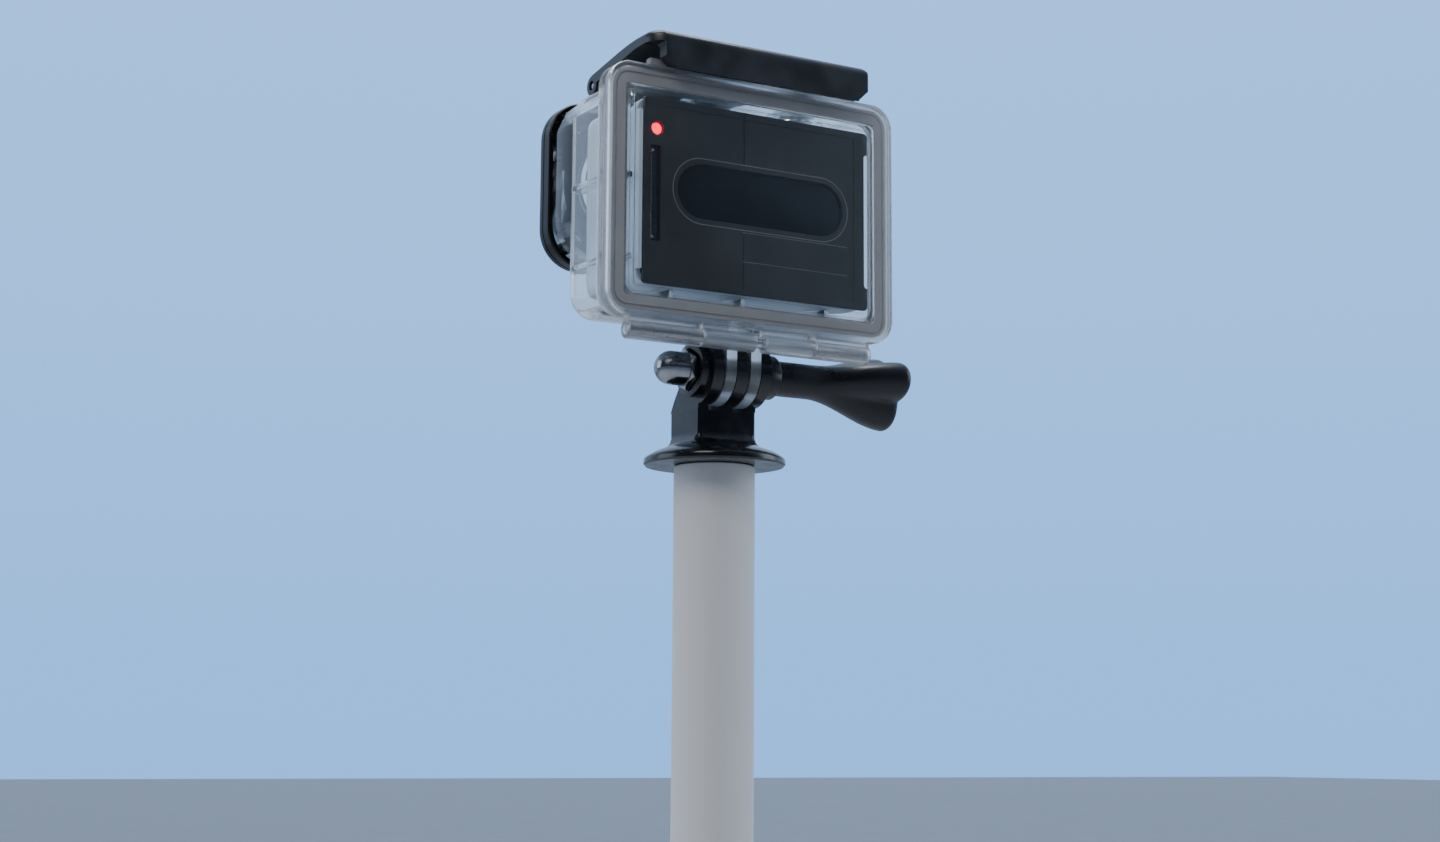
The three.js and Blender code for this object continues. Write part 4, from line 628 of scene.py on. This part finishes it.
def housing_shell():
    """The moulded body: tub, flange, lens block, hinge knuckles, fingers, latch lugs, plunger collars and
    inner ribs as one mesh, hollowed by the cavity and bored for the port, pins, bolt and plungers."""
    flange_low, flange_high = span("door_seal")
    flange_centre = np.array(centre_of(flange_low, flange_high))
    outer = tub("housing_shell", 0, -0.5)
    lugs = []
    for near in LUG_STARTS:
        outline = [(-27.6, 24.4), (-20.6, 24.4), (-22.6, 29.2), *arc(LATCH_PIVOT, 2.0, 0, 180, 16)[1:]]
        lugs.append(prism("lug", outline, near, near + LUG_WIDTH, "x"))
    joined = [
        slab("flange", DOOR_SIZE, DOOR_CORNER, flange_centre, -2.6, 0.0, 0.4, steps=14),
        slab("block", (37.0, 37.0), 8.5, LENS_SPOT, -31.7, -21.7, 0.3, steps=16),
        *fingers(),
        knuckle("knuckle_a", 1.2, 14.2, True),
        knuckle("knuckle_b", -14.0, -1.4, True),
        *lugs,
        rod("shutter_collar", COLLAR_RADIUS, 24.2, 27.6, SHUTTER_SPOT, "z", 0.3, 64),
        rod("mode_collar", COLLAR_RADIUS, -26.4, -23.0, MODE_SPOT, "y", 0.3, 64),
    ]
    body = worked(outer, joined, "UNION")
    room = slab("room", (32.2, 32.2), 6.1, LENS_SPOT, -29.0, -20.6, 0.3, steps=12)
    posts = []
    screws = []
    for node in SCREWS:
        low, high = span(node)
        spot = centre_of(low, high)
        posts.append(rod("post", 2.3, -30, high[1] + 1.4, spot, "y", 0.2))
        screws.append((spot, high[1] + 0.3))
    body = worked(body, [tub("cavity", WALL, 1.0), worked(room, posts)])
    ribs = [slab("rib", (4.4, 1.2), 0.3, (31.9, z), -21.4, -2.6, 0.1) for z in RIB_HEIGHTS]
    ribs += [slab("rib", (1.2, 3.4), 0.3, (x, -22.4), -21.4, -2.6, 0.1) for x in (-20, 2, 20)]
    body = worked(body, ribs, "UNION")
    bores = [
        rod("port", PORT_RADIUS, -33, -20, LENS_SPOT, "y", SHARP, 96),
        rod("bolt_hole", BOLT_HOLE, -10, 12, PIVOT, "x", SHARP),
        rod("pin_hole", PIN_HOLE, -30, 34, HINGE, "x", SHARP, 32),
        rod("latch_hole", LATCH_HOLE, 1, 26, LATCH_PIVOT, "x", SHARP, 32),
        rod("shutter_well", WELL_RADIUS, 25.2, 28.5, SHUTTER_SPOT, "z", SHARP, 64),
        rod("mode_well", WELL_RADIUS, -27.4, -24.0, MODE_SPOT, "y", SHARP, 64),
        rod("shutter_hole", 1.5, 21, 26, SHUTTER_SPOT, "z", SHARP, 32),
        rod("mode_hole", 1.5, -25, -20, MODE_SPOT, "y", SHARP, 32),
        rod("shutter_seat", 2.5, 21, 24.6, SHUTTER_SPOT, "z", SHARP, 40),
        rod("mode_seat", 2.5, -23.4, -20, MODE_SPOT, "y", SHARP, 40),
    ]
    bores += [rod("screw_hole", SCREW_HOLE, -33, end, spot, "y", SHARP, 24) for spot, end in screws]
    body = worked(body, bores)
    done(body, POLYCARBONATE, BODY, ["housing_body"], smooth=28)
    body.data.materials.append(FROSTED)
    middle = face_middles(body.data)
    low = (middle[:, 2] < -28.6) & (np.abs(middle[:, 0] - MOUNT_X) < 16)
    # The lens block's faces take the grey tint that is painted shade.
    body.data.materials.append(LENS_BLOCK_SHADE_TINT)
    body.data.materials.append(HAZED)
    finish = np.select([middle[:, 1] < TUB_FRONT - 0.4, low, middle[:, 1] > -2.7], [2, 1, 3], 0)
    body.data.polygons.foreach_set("material_index", finish.astype(np.int32))
    ridge = slab("catch_ridge", (52.2, 2.0), 0.4, (0.4, -1.2), 27.12, 29.6, 0.5, axis="z", steps=4)
    done(ridge, BLASTED, BODY)


def back_door():
    """A clear plate with a stepped window, a seal groove inside and two hinge barrels."""
    seal_low, seal_high = span("door_seal")
    centre = np.array(centre_of(seal_low, seal_high))
    plate = slab("door_plate", DOOR_SIZE, DOOR_CORNER, centre, 0.3, 2.7, 0.55, steps=14)
    barrels = [knuckle("door_a", 14.5, 32.6, False), knuckle("door_b", -28.5, -14.3, False)]
    plate = worked(plate, barrels, "UNION")
    tools = [
        slab("window", DOOR_SIZE - 10.4, 1.6, centre, 2.2, 4.0, 0.05),
        band("window_line", DOOR_SIZE - 12.6, 1.2, centre, [(0, 1.9), (0.35, 1.9), (0.35, 3), (0, 3)]),
        band("groove", DOOR_SIZE - 2.4, 4.3, centre, [(0, -1), (3.6, -1), (3.6, 1.5), (0, 1.5)]),
        rod("pin_hole", PIN_HOLE, -30, 34, HINGE, "x", SHARP, 32),
    ]
    plate = done(worked(plate, tools), POLYCARBONATE, "door", ["back_door"], smooth=28)
    mesh = plate.data
    mesh.materials.append(HAZED)
    middle = face_middles(mesh)
    corners = np.empty(len(mesh.loops), dtype=np.int32)
    mesh.loops.foreach_get("vertex_index", corners)
    starts = np.empty(len(mesh.polygons), dtype=np.int32)
    mesh.polygons.foreach_get("loop_start", starts)
    places = np.empty(3 * len(mesh.vertices))
    mesh.vertices.foreach_get("co", places)
    top = np.maximum.reduceat(places[1::3][corners], starts) / MM - ORIGIN[1]
    outside = (np.abs(middle[:, 0] - centre[0]) > 31.4) | (np.abs(middle[:, 2] - centre[1]) > 22.5)
    mesh.polygons.foreach_set("material_index", ((top > 2.4) | outside).astype(np.int32))
    t = np.radians(np.linspace(0, 180, 9))
    lip = [(1.5 - 1.5 * np.cos(a), 0.7 - 0.4 * np.sin(a)) for a in t]
    groove = [(3.0, 1.2), (1.0, 1.2), (0.95, 0.85), (0.7, 0.85), (0.65, 1.2), (0.0, 1.2)]
    seal = band("door_gasket", DOOR_SIZE - 3.0, 4.0, centre, [*lip, *groove], steps=14)
    done(seal, SILICONE, "door", ["door_seal"])


def hinge_and_latch_pins():
    """Plain turned pins with rounded ends."""
    for name, node, centre in (("hinge_rod", "hinge_pin", HINGE), ("latch_rod", "latch_pin", LATCH_PIVOT)):
        low, high = span(node)
        radius = (high[2] - low[2]) / 2
        done(rod(name, radius, low[0], high[0], centre, "x", 0.3, 32), STEEL, BODY, [node])


def lens_port():
    """The black bezel, a rounded frame whose front rim is a broad quarter round, its screws, the port glass
    standing proud of it, and the seal behind the glass."""
    low, high = span("lens_bezel")
    front, rear = low[1], high[1]
    size = size_of(low, high)
    inset, depth = quarter(1.4, 6)
    outer = [(i, front + d) for i, d in zip(inset, depth)]
    open_in = (size[0] - 27.0) / 2
    groove = [(0, front + 2.5), (0.3, front + 2.55), (0.3, front + 2.8), (0, front + 2.85)]
    inside = [(open_in, rear), (open_in, front + 0.4), (open_in - 0.4, front)]
    profile = [*outer, *groove, (0, rear - 0.3), (0.3, rear), *inside]
    bezel = band("port_bezel", size, 9.0, LENS_SPOT, profile, steps=18)
    tools = []
    for number, node in enumerate(SCREWS, 1):
        s_low, s_high = span(node)
        spot = centre_of(s_low, s_high)
        tools.append(rod("head_hole", 2.0, front - 1, s_low[1] + 1.7, spot, "y", SHARP, 32))
        tools.append(rod("shank_hole", SCREW_HOLE, front, rear + 1, spot, "y", SHARP, 24))
        head = [(1.7, s_low[1] + 1.4), (1.7, s_low[1] + 0.5), (1.2, s_low[1] + 0.1), (0, s_low[1])]
        shank = [(0, s_high[1]), (0.6, s_high[1]), (0.9, s_high[1] - 0.5), (0.9, s_low[1] + 1.4)]
        screw = turned(f"screw_{number}", [*shank, *head], spot, "y", 40)
        cross = [
            slab("bar", bar, 0.1, spot, s_low[1] - 1, s_low[1] + 0.7, 0.02, steps=2)
            for bar in ((0.45, 1.9), (1.9, 0.45))
        ]
        done(worked(screw, cross), STEEL, BODY, [node])
    done(worked(bezel, tools), BEZEL_ABS, BODY, ["lens_bezel"])
    pane = slab_of("port_pane", "port_glass", 5.7, 0.5, steps=14)
    done(pane, PORT_GLASS, BODY, ["port_glass"])
    seal = slab_of("port_gasket", "port_seal", 5.7, 0.4, steps=14)
    s_low, s_high = span("port_seal")
    opening = rod("seal_hole", PORT_RADIUS, s_low[1] - 1, s_high[1] + 1, LENS_SPOT, "y", SHARP, 72)
    seal = worked(seal, [opening])
    done(seal, BLACK_RUBBER, BODY, ["port_seal"])


def latch_bar():
    """The latch: a hooked outline carried along X, cut away to a bar on one side, its plate thin over the
    flange and its hook shorter than the plate, slotted round the lugs. One plan corner and the top rim are
    rounded."""
    low, high = span("latch")
    rear, peak = high[1], high[2]
    bottom, inner, turn = 27.4, 1.2, 2.3
    y, z = LATCH_PIVOT
    top = [(rear, peak - turn), *arc((rear - turn, peak - turn), turn, 0, 90, 8)[1:], (-4.5, peak - 0.5)]
    under = [(y, z - 0.2), (-4.5, peak - 2.9), (inner - 1.0, peak - 2.7), (inner, peak - 3.6)]
    outline = [(inner, bottom), (3.0, bottom), (rear, bottom - 0.9), *top, (y, z + 2.3), *under]
    bar = prism("latch_moulding", outline, low[0], high[0], "x")
    bar = worked(bar, [rod("barrel", 2.3, -6.2, high[0], LATCH_PIVOT, "x", 0.2)], "UNION")
    past = 10
    round_over = slab("round_over", (high[0] - low[0] + past, rear + 60), 4.6,
                      ((low[0] + high[0] - past) / 2, (rear - 60) / 2), 20, peak, 1.6, axis="z")
    bar = worked(bar, [round_over], "INTERSECT")
    tools = [
        slab("cut_away", (30, 24.7), 0.3, (-21.2, -16.85), 24, 37, 0.05, axis="z"),
        rod("latch_hole", LATCH_HOLE, -8, 30, LATCH_PIVOT, "x", SHARP, 32),
        slab("hook_end", (3.7, 12), 0.05, (high[0] - 1.35, 6.2), 22, peak - 2.7, 0.4, axis="z", steps=4),
    ]
    tools += [rod("lug_slot", 4.6, x - 0.3, x + LUG_WIDTH + 0.3, LATCH_PIVOT, "x", SHARP) for x in LUG_STARTS]
    chamfer = [(-1, 25), (3.0, 25), (2.4, 26.9), (0.6, 28.6), (-1, 30)]
    for x, side in ((low[0], 1), (high[0] - 3.2, -1)):
        tools.append(prism("wedge", [(x + side * out, up) for out, up in chamfer], -5.5, 5.5, "y"))
    corner = [(-1, -2.3), (0.9, -0.35), (2.3, 1), (-1, 1)]
    tools.append(prism("corner", [(low[0] + out, peak + up) for out, up in corner], -9, rear + 1, "y"))
    done(worked(bar, tools), LATCH_NYLON, "latch_bar", ["latch"], bevel=0.5, smooth=30)


def plungers():
    """Push buttons of the housing: dished cap and stem, a coil spring and a ring seal; the clip keeps its CAD
    shape.
    """
    spots = {
        "shutter": ("z", SHUTTER_SPOT, 1, "shutter_push"),
        "mode": ("y", MODE_SPOT, -1, "mode_push"),
    }
    for name, (axis, centre, outward, body) in spots.items():
        low, high = span(f"{name}_plunger")
        d = {"y": 1, "z": 2}[axis]
        face, tip = (high[d], low[d]) if outward > 0 else (low[d], high[d])
        under = face - 2.0 * outward
        across = np.linspace(1, 0, 12)
        dish = [(4.5 * x, face - outward * 0.35 * (1 - x * x)) for x in across]
        rim = [(5.0, under), (5.0, face - 0.45 * outward), (4.85, face - 0.12 * outward)]
        stem = [(0, tip), (1.0, tip), (1.2, tip + 0.2 * outward), (1.2, under)]
        cap = turned(f"{name}_button", [*stem, *rim, *dish],
                     centre, axis, 72)
        done(cap, SILVER_WITH_PAINTED_SKY, body, [f"{name}_plunger"])
        s_low, s_high = span(f"{name}_spring")
        along = np.linspace(0, 1, 241)
        angle = along * 4 * np.pi * 1.5
        near, far = s_low[d] + 0.25, s_high[d] - 0.25
        path = near + (far - near) * along
        ring = np.linspace(0, 2 * np.pi, 10, endpoint=False)
        radius = 3.4 + 0.25 * np.cos(ring)[None, :]
        a = centre[0] + radius * np.cos(angle)[:, None]
        b = centre[1] + radius * np.sin(angle)[:, None]
        c = path[:, None] + 0.25 * np.sin(ring)[None, :]
        grid = np.stack([a, b, c] if axis == "z" else [a, c, b], axis=-1)
        coil = done(skin(f"{name}_coil", grid), STEEL, BODY, [f"{name}_spring"], smooth=60)
        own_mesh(coil)
        r_low, r_high = span(f"{name}_o_ring")
        thick = (r_high[d] - r_low[d]) / 2
        t = np.linspace(0, 2 * np.pi, 16, endpoint=False)
        middle = (r_low[d] + r_high[d]) / 2
        big = (r_high[0] - r_low[0]) / 2 - thick
        profile = [(big + thick * np.cos(x), middle + thick * np.sin(x)) for x in t]
        ring = turned(f"{name}_seal_ring", profile, centre, axis, 48, joined=True)
        done(ring, BLACK_RUBBER, BODY, [f"{name}_o_ring"], smooth=60)


# ---------------------------------------------------------------- mount
def tripod_adapter():
    """Prongs and shoulder as one side outline carried across, slotted for the fingers, on a block with
    rounded uprights and a stepped collar, on a dished round foot; a round boss holds the nut's pocket."""
    py, pz = PIVOT
    left, right = MOUNT_X - PRONG_RADIUS, MOUNT_X + PRONG_RADIUS
    outline = [(py + 0.3, pz - 8.2), *arc(PIVOT, PRONG_RADIUS, -87.66, 180, 72)]
    outline += [(py - 7.9, pz - 2.2), (py - 10.3, pz - 5.4), (py - 11.5, pz - 7.3), (py - 11.9, pz - 8.2)]
    block = prism("adapter_moulding", outline, left, right, "x")
    lower = slab("lower", (14.7, 12.2), 0.4, (MOUNT_X, py - 5.8), -54, pz - 8.15, 0.05, axis="z")
    block = worked(block, [lower], "UNION")
    tools = []
    for middle in (MOUNT_X - FINGER_STEP, MOUNT_X + FINGER_STEP):
        near, far = middle - FINGER_HALF - 0.3, middle + FINGER_HALF + 0.3
        tools.append(slab("slot", (34, 20), 0.6, (py, pz - 8.6 + 10), near, far, 0.02, axis="x"))
    block = worked(block, tools)
    foot = [(0, FOOT_BOTTOM), (15.4, FOOT_BOTTOM), (15.8, -55.9), (15.8, -55.1), (15.6, -54.7), (14.8, -54.1)]
    foot += [(13.6, -53.45), (12.2, -52.85), (10.8, -52.35), (9.4, -52.0), (0, -52.0)]
    disc = turned("foot", foot, FOOT_SPOT, "z", 128)
    steps = [(1.33, -49.5), (1.25, -50.2), (1.0, -50.9), (0.6, -51.5), (0.0, -51.95), (-0.6, -52.2)]
    steps += [(-0.6, -53.0), (4, -53.0), (4, -49.5)]
    base = band("collar", (17.6, 15.2), 2.4, (MOUNT_X, -15.4), steps, axis="z")
    boss = rod("boss", 6.0, right - 1, right + 2.2, PIVOT, "x", 0.3, 64)
    block = worked(block, [disc, base, boss], "UNION")
    hexagon = np.array(arc(PIVOT, 8.6 / math.sqrt(3), 30, 330, 5))
    tools = [
        rod("bolt_hole", BOLT_HOLE, left - 1, right + 1, PIVOT, "x", SHARP, 48),
        prism("nut_pocket", hexagon, MOUNT_X + 6.9, right + 4, "x"),
        rod("insert_seat", 4.8, -57.5, -48.3, FOOT_SPOT, "z", SHARP, 64),
    ]
    done(worked(block, tools), GLOSS_ABS, "adapter", ["tripod_adapter"], bevel=0.22, smooth=30)
    bush = [(3.0, -56.0), (4.2, -56.0), (4.5, -55.7), (4.5, -48.6), (0, -48.6), (0, -49.6), (3.0, -49.6)]
    turns = np.linspace(-49.8, -55.6, 24)
    thread = [(3.0 + 0.25 * (k % 2), z) for k, z in enumerate(turns)]
    insert = turned("insert_bush", bush + thread, FOOT_SPOT, "z", 48, joined=True)
    done(insert, BRASS, "adapter", ["threaded_insert"])


def nut_and_bolt():
    """A domed cap nut, chamfered where the hexagon meets the dome, and the bolt with its thread's ridges."""
    low, high = span("acorn_nut")
    hexagon = np.array(arc(PIVOT, 8.0 / math.sqrt(3), 30, 330, 5))
    nut = prism("cap_nut", hexagon, low[0], low[0] + 3.9, "x")
    t = np.linspace(0, np.pi / 2, 16)
    tip = high[0]
    dome = [(3.75 * np.cos(a), tip - 3.75 + 3.75 * np.sin(a)) for a in t]
    cap = turned("dome", [(3.75, low[0] + 2), *dome], PIVOT, "x", 72)
    slope = [(4.75, low[0] - 1), (4.75, low[0] + 3.1), (4.05, low[0] + 3.9), (4.05, low[0] + 9)]
    taper = turned("taper", slope, PIVOT, "x", 64)
    nut = worked(nut, [taper], "INTERSECT")
    nut = worked(nut, [cap], "UNION")
    nut = worked(nut, [rod("bore", BOLT_HOLE, low[0] - 1, low[0] + 8, PIVOT, "x", SHARP, 48)])
    done(nut, CHROME, "adapter", ["acorn_nut"], bevel=0.12, smooth=35)
    low, high = span("clamp_bolt")
    turns = np.arange(low[0] + 0.4, high[0] - 0.4, 0.4)
    ridges = [(2.4 - 0.22 * (k % 2), x) for k, x in enumerate(turns)]
    bolt = turned("bolt_thread", [(2.1, low[0]), *ridges, (2.1, high[0])], PIVOT, "x", 48)
    done(bolt, STEEL, "thumbscrew", ["clamp_bolt"])


def thumbscrew():
    """Collar, waist and a three-lobed grip: radius = valley + (crest - valley) * ((1 + cos 3(t - turn)) / 2)
    to the power 0.8, where valley and crest grow from the waist by a smooth step along the axis, and the
    end closes in a quarter round."""
    low, high = span("thumbscrew_knob")
    start, end = high[0], low[0]
    length = start - end
    s = np.concatenate([
        [0, 0.25, 3.6, 3.9, 4.2, 4.6],
        np.linspace(5.5, length - 2.2, 46),
        length - 2.2 + 2.2 * np.sin(np.linspace(0.12, np.pi / 2, 10)),
    ])
    waist = np.where(s < 0.2, 4.7, np.where(s < 3.8, 4.95, np.where(s < 4.1, 4.75, 3.95)))
    grow = np.clip((s - 13.35) / 22.5, 0, 1)
    grow = grow * grow * (3 - 2 * grow)
    close = np.clip((s - (length - 2.2)) / 2.2, 0, 1)
    drop = 2.2 * (1 - np.sqrt(1 - close**2))
    valley = waist + grow * (5.4 - 3.95) - drop
    crest = waist + grow * (9.6 - 3.95) - drop
    angle = np.linspace(0, 2 * np.pi, 144, endpoint=False)
    lobe = ((1 + np.cos(3 * (angle - math.radians(17)))) / 2) ** 0.8
    radius = valley[:, None] + (crest - valley)[:, None] * lobe[None, :]
    grid = np.stack([
        np.repeat((start - s)[:, None], len(angle), axis=1),
        PIVOT[0] + radius * np.cos(angle),
        PIVOT[1] + radius * np.sin(angle),
    ], axis=-1)
    knob = skin("knob_moulding", grid)
    knob = worked(knob, [rod("bore", BOLT_HOLE, start - 14, start + 1, PIVOT, "x", SHARP, 48)])
    done(knob, KNOB_NYLON, "thumbscrew", ["thumbscrew_knob"], smooth=40)


def plain_nodes():
    """Pieces inside the closed camera keep their CAD shape and take a proper finish."""
    finishes = {
        "main_board": SOLDER_MASK,
        "sensor_board": SOLDER_MASK,
        "processor_shield": STEEL,
        "battery": BATTERY_FILM,
        "shutter_clip": STEEL,
        "mode_clip": STEEL,
    }
    for node, material in finishes.items():
        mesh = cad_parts[node].data
        mesh.materials.clear()
        mesh.materials.append(material)


back_panel()
bus_connector()
record_lamp()
camera_shells()
camera_lens()
camera_buttons()
housing_shell()
back_door()
hinge_and_latch_pins()
lens_port()
latch_bar()
plungers()
tripod_adapter()
nut_and_bolt()
thumbscrew()
plain_nodes()


# ---------------------------------------------------------------- stage, light and camera
def stage():
    """A pale floor well below, and a slim pale stand that the foot rests on."""
    material, tree, output = started("stage_matt_card")
    place = add(tree, "ShaderNodeTexCoord").outputs["Object"]
    shade = add(
        tree, "ShaderNodeTexNoise", {"Vector": place, "Scale": 1 / (60 * MM), "Detail": 3.0}
    ).outputs["Fac"]
    tone = add(
        tree,
        "ShaderNodeMapRange",
        {"Value": shade, "From Min": 0.3, "From Max": 0.7, "To Min": 0.66, "To Max": 0.7},
    ).outputs["Result"]
    shader = add(tree, "ShaderNodeBsdfPrincipled", {"Base Color": tone, "Roughness": 0.85})
    tree.links.new(shader.outputs[0], output.inputs["Surface"])
    drop = -56.3 - 260
    floor = slab("floor", (24000, 24000), 10, (0, 0), drop - 20, drop, 1, axis="z")
    stand = turned("stand", [(9.0, drop), (9.0, -56.9), (8.8, -56.5), (8.4, -56.32)], FOOT_SPOT, "z", 96)
    for piece in (floor, stand):
        piece.data.materials.append(material)
        piece.data.shade_smooth()
        piece.data.set_sharp_from_angle(angle=math.radians(30))


def lamp(name, place, aim, size, power, colour):
    """A soft rectangular lamp at place, turned to aim; both in millimetres from ORIGIN."""
    data = bpy.data.lights.new(name, "AREA")
    data.shape = "RECTANGLE"
    data.size, data.size_y = size[0] * MM, size[1] * MM
    data.energy = power
    data.color = linear(colour)[:3]
    item = bpy.data.objects.new(name, data)
    bpy.context.scene.collection.objects.link(item)
    item.visible_camera = False
    place, aim = (np.array(place) + ORIGIN) * MM, (np.array(aim) + ORIGIN) * MM
    back = (place - aim) / np.linalg.norm(place - aim)
    side = np.cross([0, 0, 1], back)
    side /= np.linalg.norm(side)
    up = np.cross(back, side)
    item.matrix_world = Matrix(np.vstack([np.column_stack([side, up, back, place]), [0, 0, 0, 1]]).tolist())


def sky():
    """A clear sky. Its light is pale and leans to the lens side and up: strength runs straight from dim to
    bright with the direction's dot product. The open view behind the scene is a steady blue, deeper lower
    down."""
    world = bpy.data.worlds.new("sky")
    bpy.context.scene.world = world
    world.use_nodes = True
    tree = world.node_tree
    tree.nodes.clear()
    way = add(tree, "ShaderNodeTexCoord").outputs["Generated"]
    split = add(tree, "ShaderNodeSeparateXYZ", {0: way})
    amount = add(
        tree, "ShaderNodeMapRange", {"Value": split.outputs["Z"], "From Min": -0.3, "From Max": 0.6}
    ).outputs["Result"]
    ramp = add(tree, "ShaderNodeValToRGB", {"Fac": amount})
    ramp.color_ramp.elements[0].color = linear("#5d9ae6")
    ramp.color_ramp.elements[1].color = linear("#8cc0f8")
    lean = add(
        tree, "ShaderNodeVectorMath", {0: way, 1: (-0.75, -0.55, 0.36)}, operation="DOT_PRODUCT"
    ).outputs["Value"]
    lit = add(
        tree,
        "ShaderNodeMapRange",
        {"Value": lean, "From Min": -0.02, "From Max": 0.8, "To Min": 0.14, "To Max": 1.6},
    ).outputs["Result"]
    path = add(tree, "ShaderNodeLightPath").outputs["Is Camera Ray"]
    seen = add(tree, "ShaderNodeMix", {0: path, 2: lit, 3: 1.9}).outputs[0]
    tone = add(
        tree, "ShaderNodeMix", {0: path, 6: linear("#aec6e6"), 7: ramp.outputs["Color"]}, data_type="RGBA"
    ).outputs[2]
    glow = add(tree, "ShaderNodeBackground", {"Color": tone, "Strength": seen})
    output = add(tree, "ShaderNodeOutputWorld")
    tree.links.new(glow.outputs[0], output.inputs["Surface"])


def camera():
    """A 55 mm view from behind and a little below, 0.49 m away."""
    data = bpy.data.cameras.new("camera")
    data.lens = 55.04
    data.sensor_width = 36.0
    data.clip_start = 0.01
    item = bpy.data.objects.new("camera", data)
    bpy.context.scene.collection.objects.link(item)
    right = np.array([-0.85895, 0.51202, 0.00612])
    down = np.array([-0.08014, -0.12262, -0.98921])
    forward = np.array([-0.50574, -0.85018, 0.14636])
    place = (np.array([247.61, 401.95, -117.70]) + ORIGIN) * MM
    turn = np.column_stack([right, -down, -forward, place])
    item.matrix_world = Matrix(np.vstack([turn, [0, 0, 0, 1]]).tolist())
    bpy.context.scene.camera = item


stage()
sky()
lamp("key", (520, 420, 620), (0, 0, 0), (420, 420), 3.2, "#fff8f0")
lamp("fill", (-520, 200, 120), (0, 0, 0), (300, 400), 0.9, "#eef3ff")
lamp("side", (620, -330, 160), (0, 0, 0), (420, 420), 1.3, "#dbe8ff")
lamp("edge", (350, -600, 105), (0, 0, 0), (420, 520), 0.45, "#c6dafa")
lamp("top", (0, -120, 620), (0, 0, 0), (500, 300), 4.0, "#ffffff")
camera()
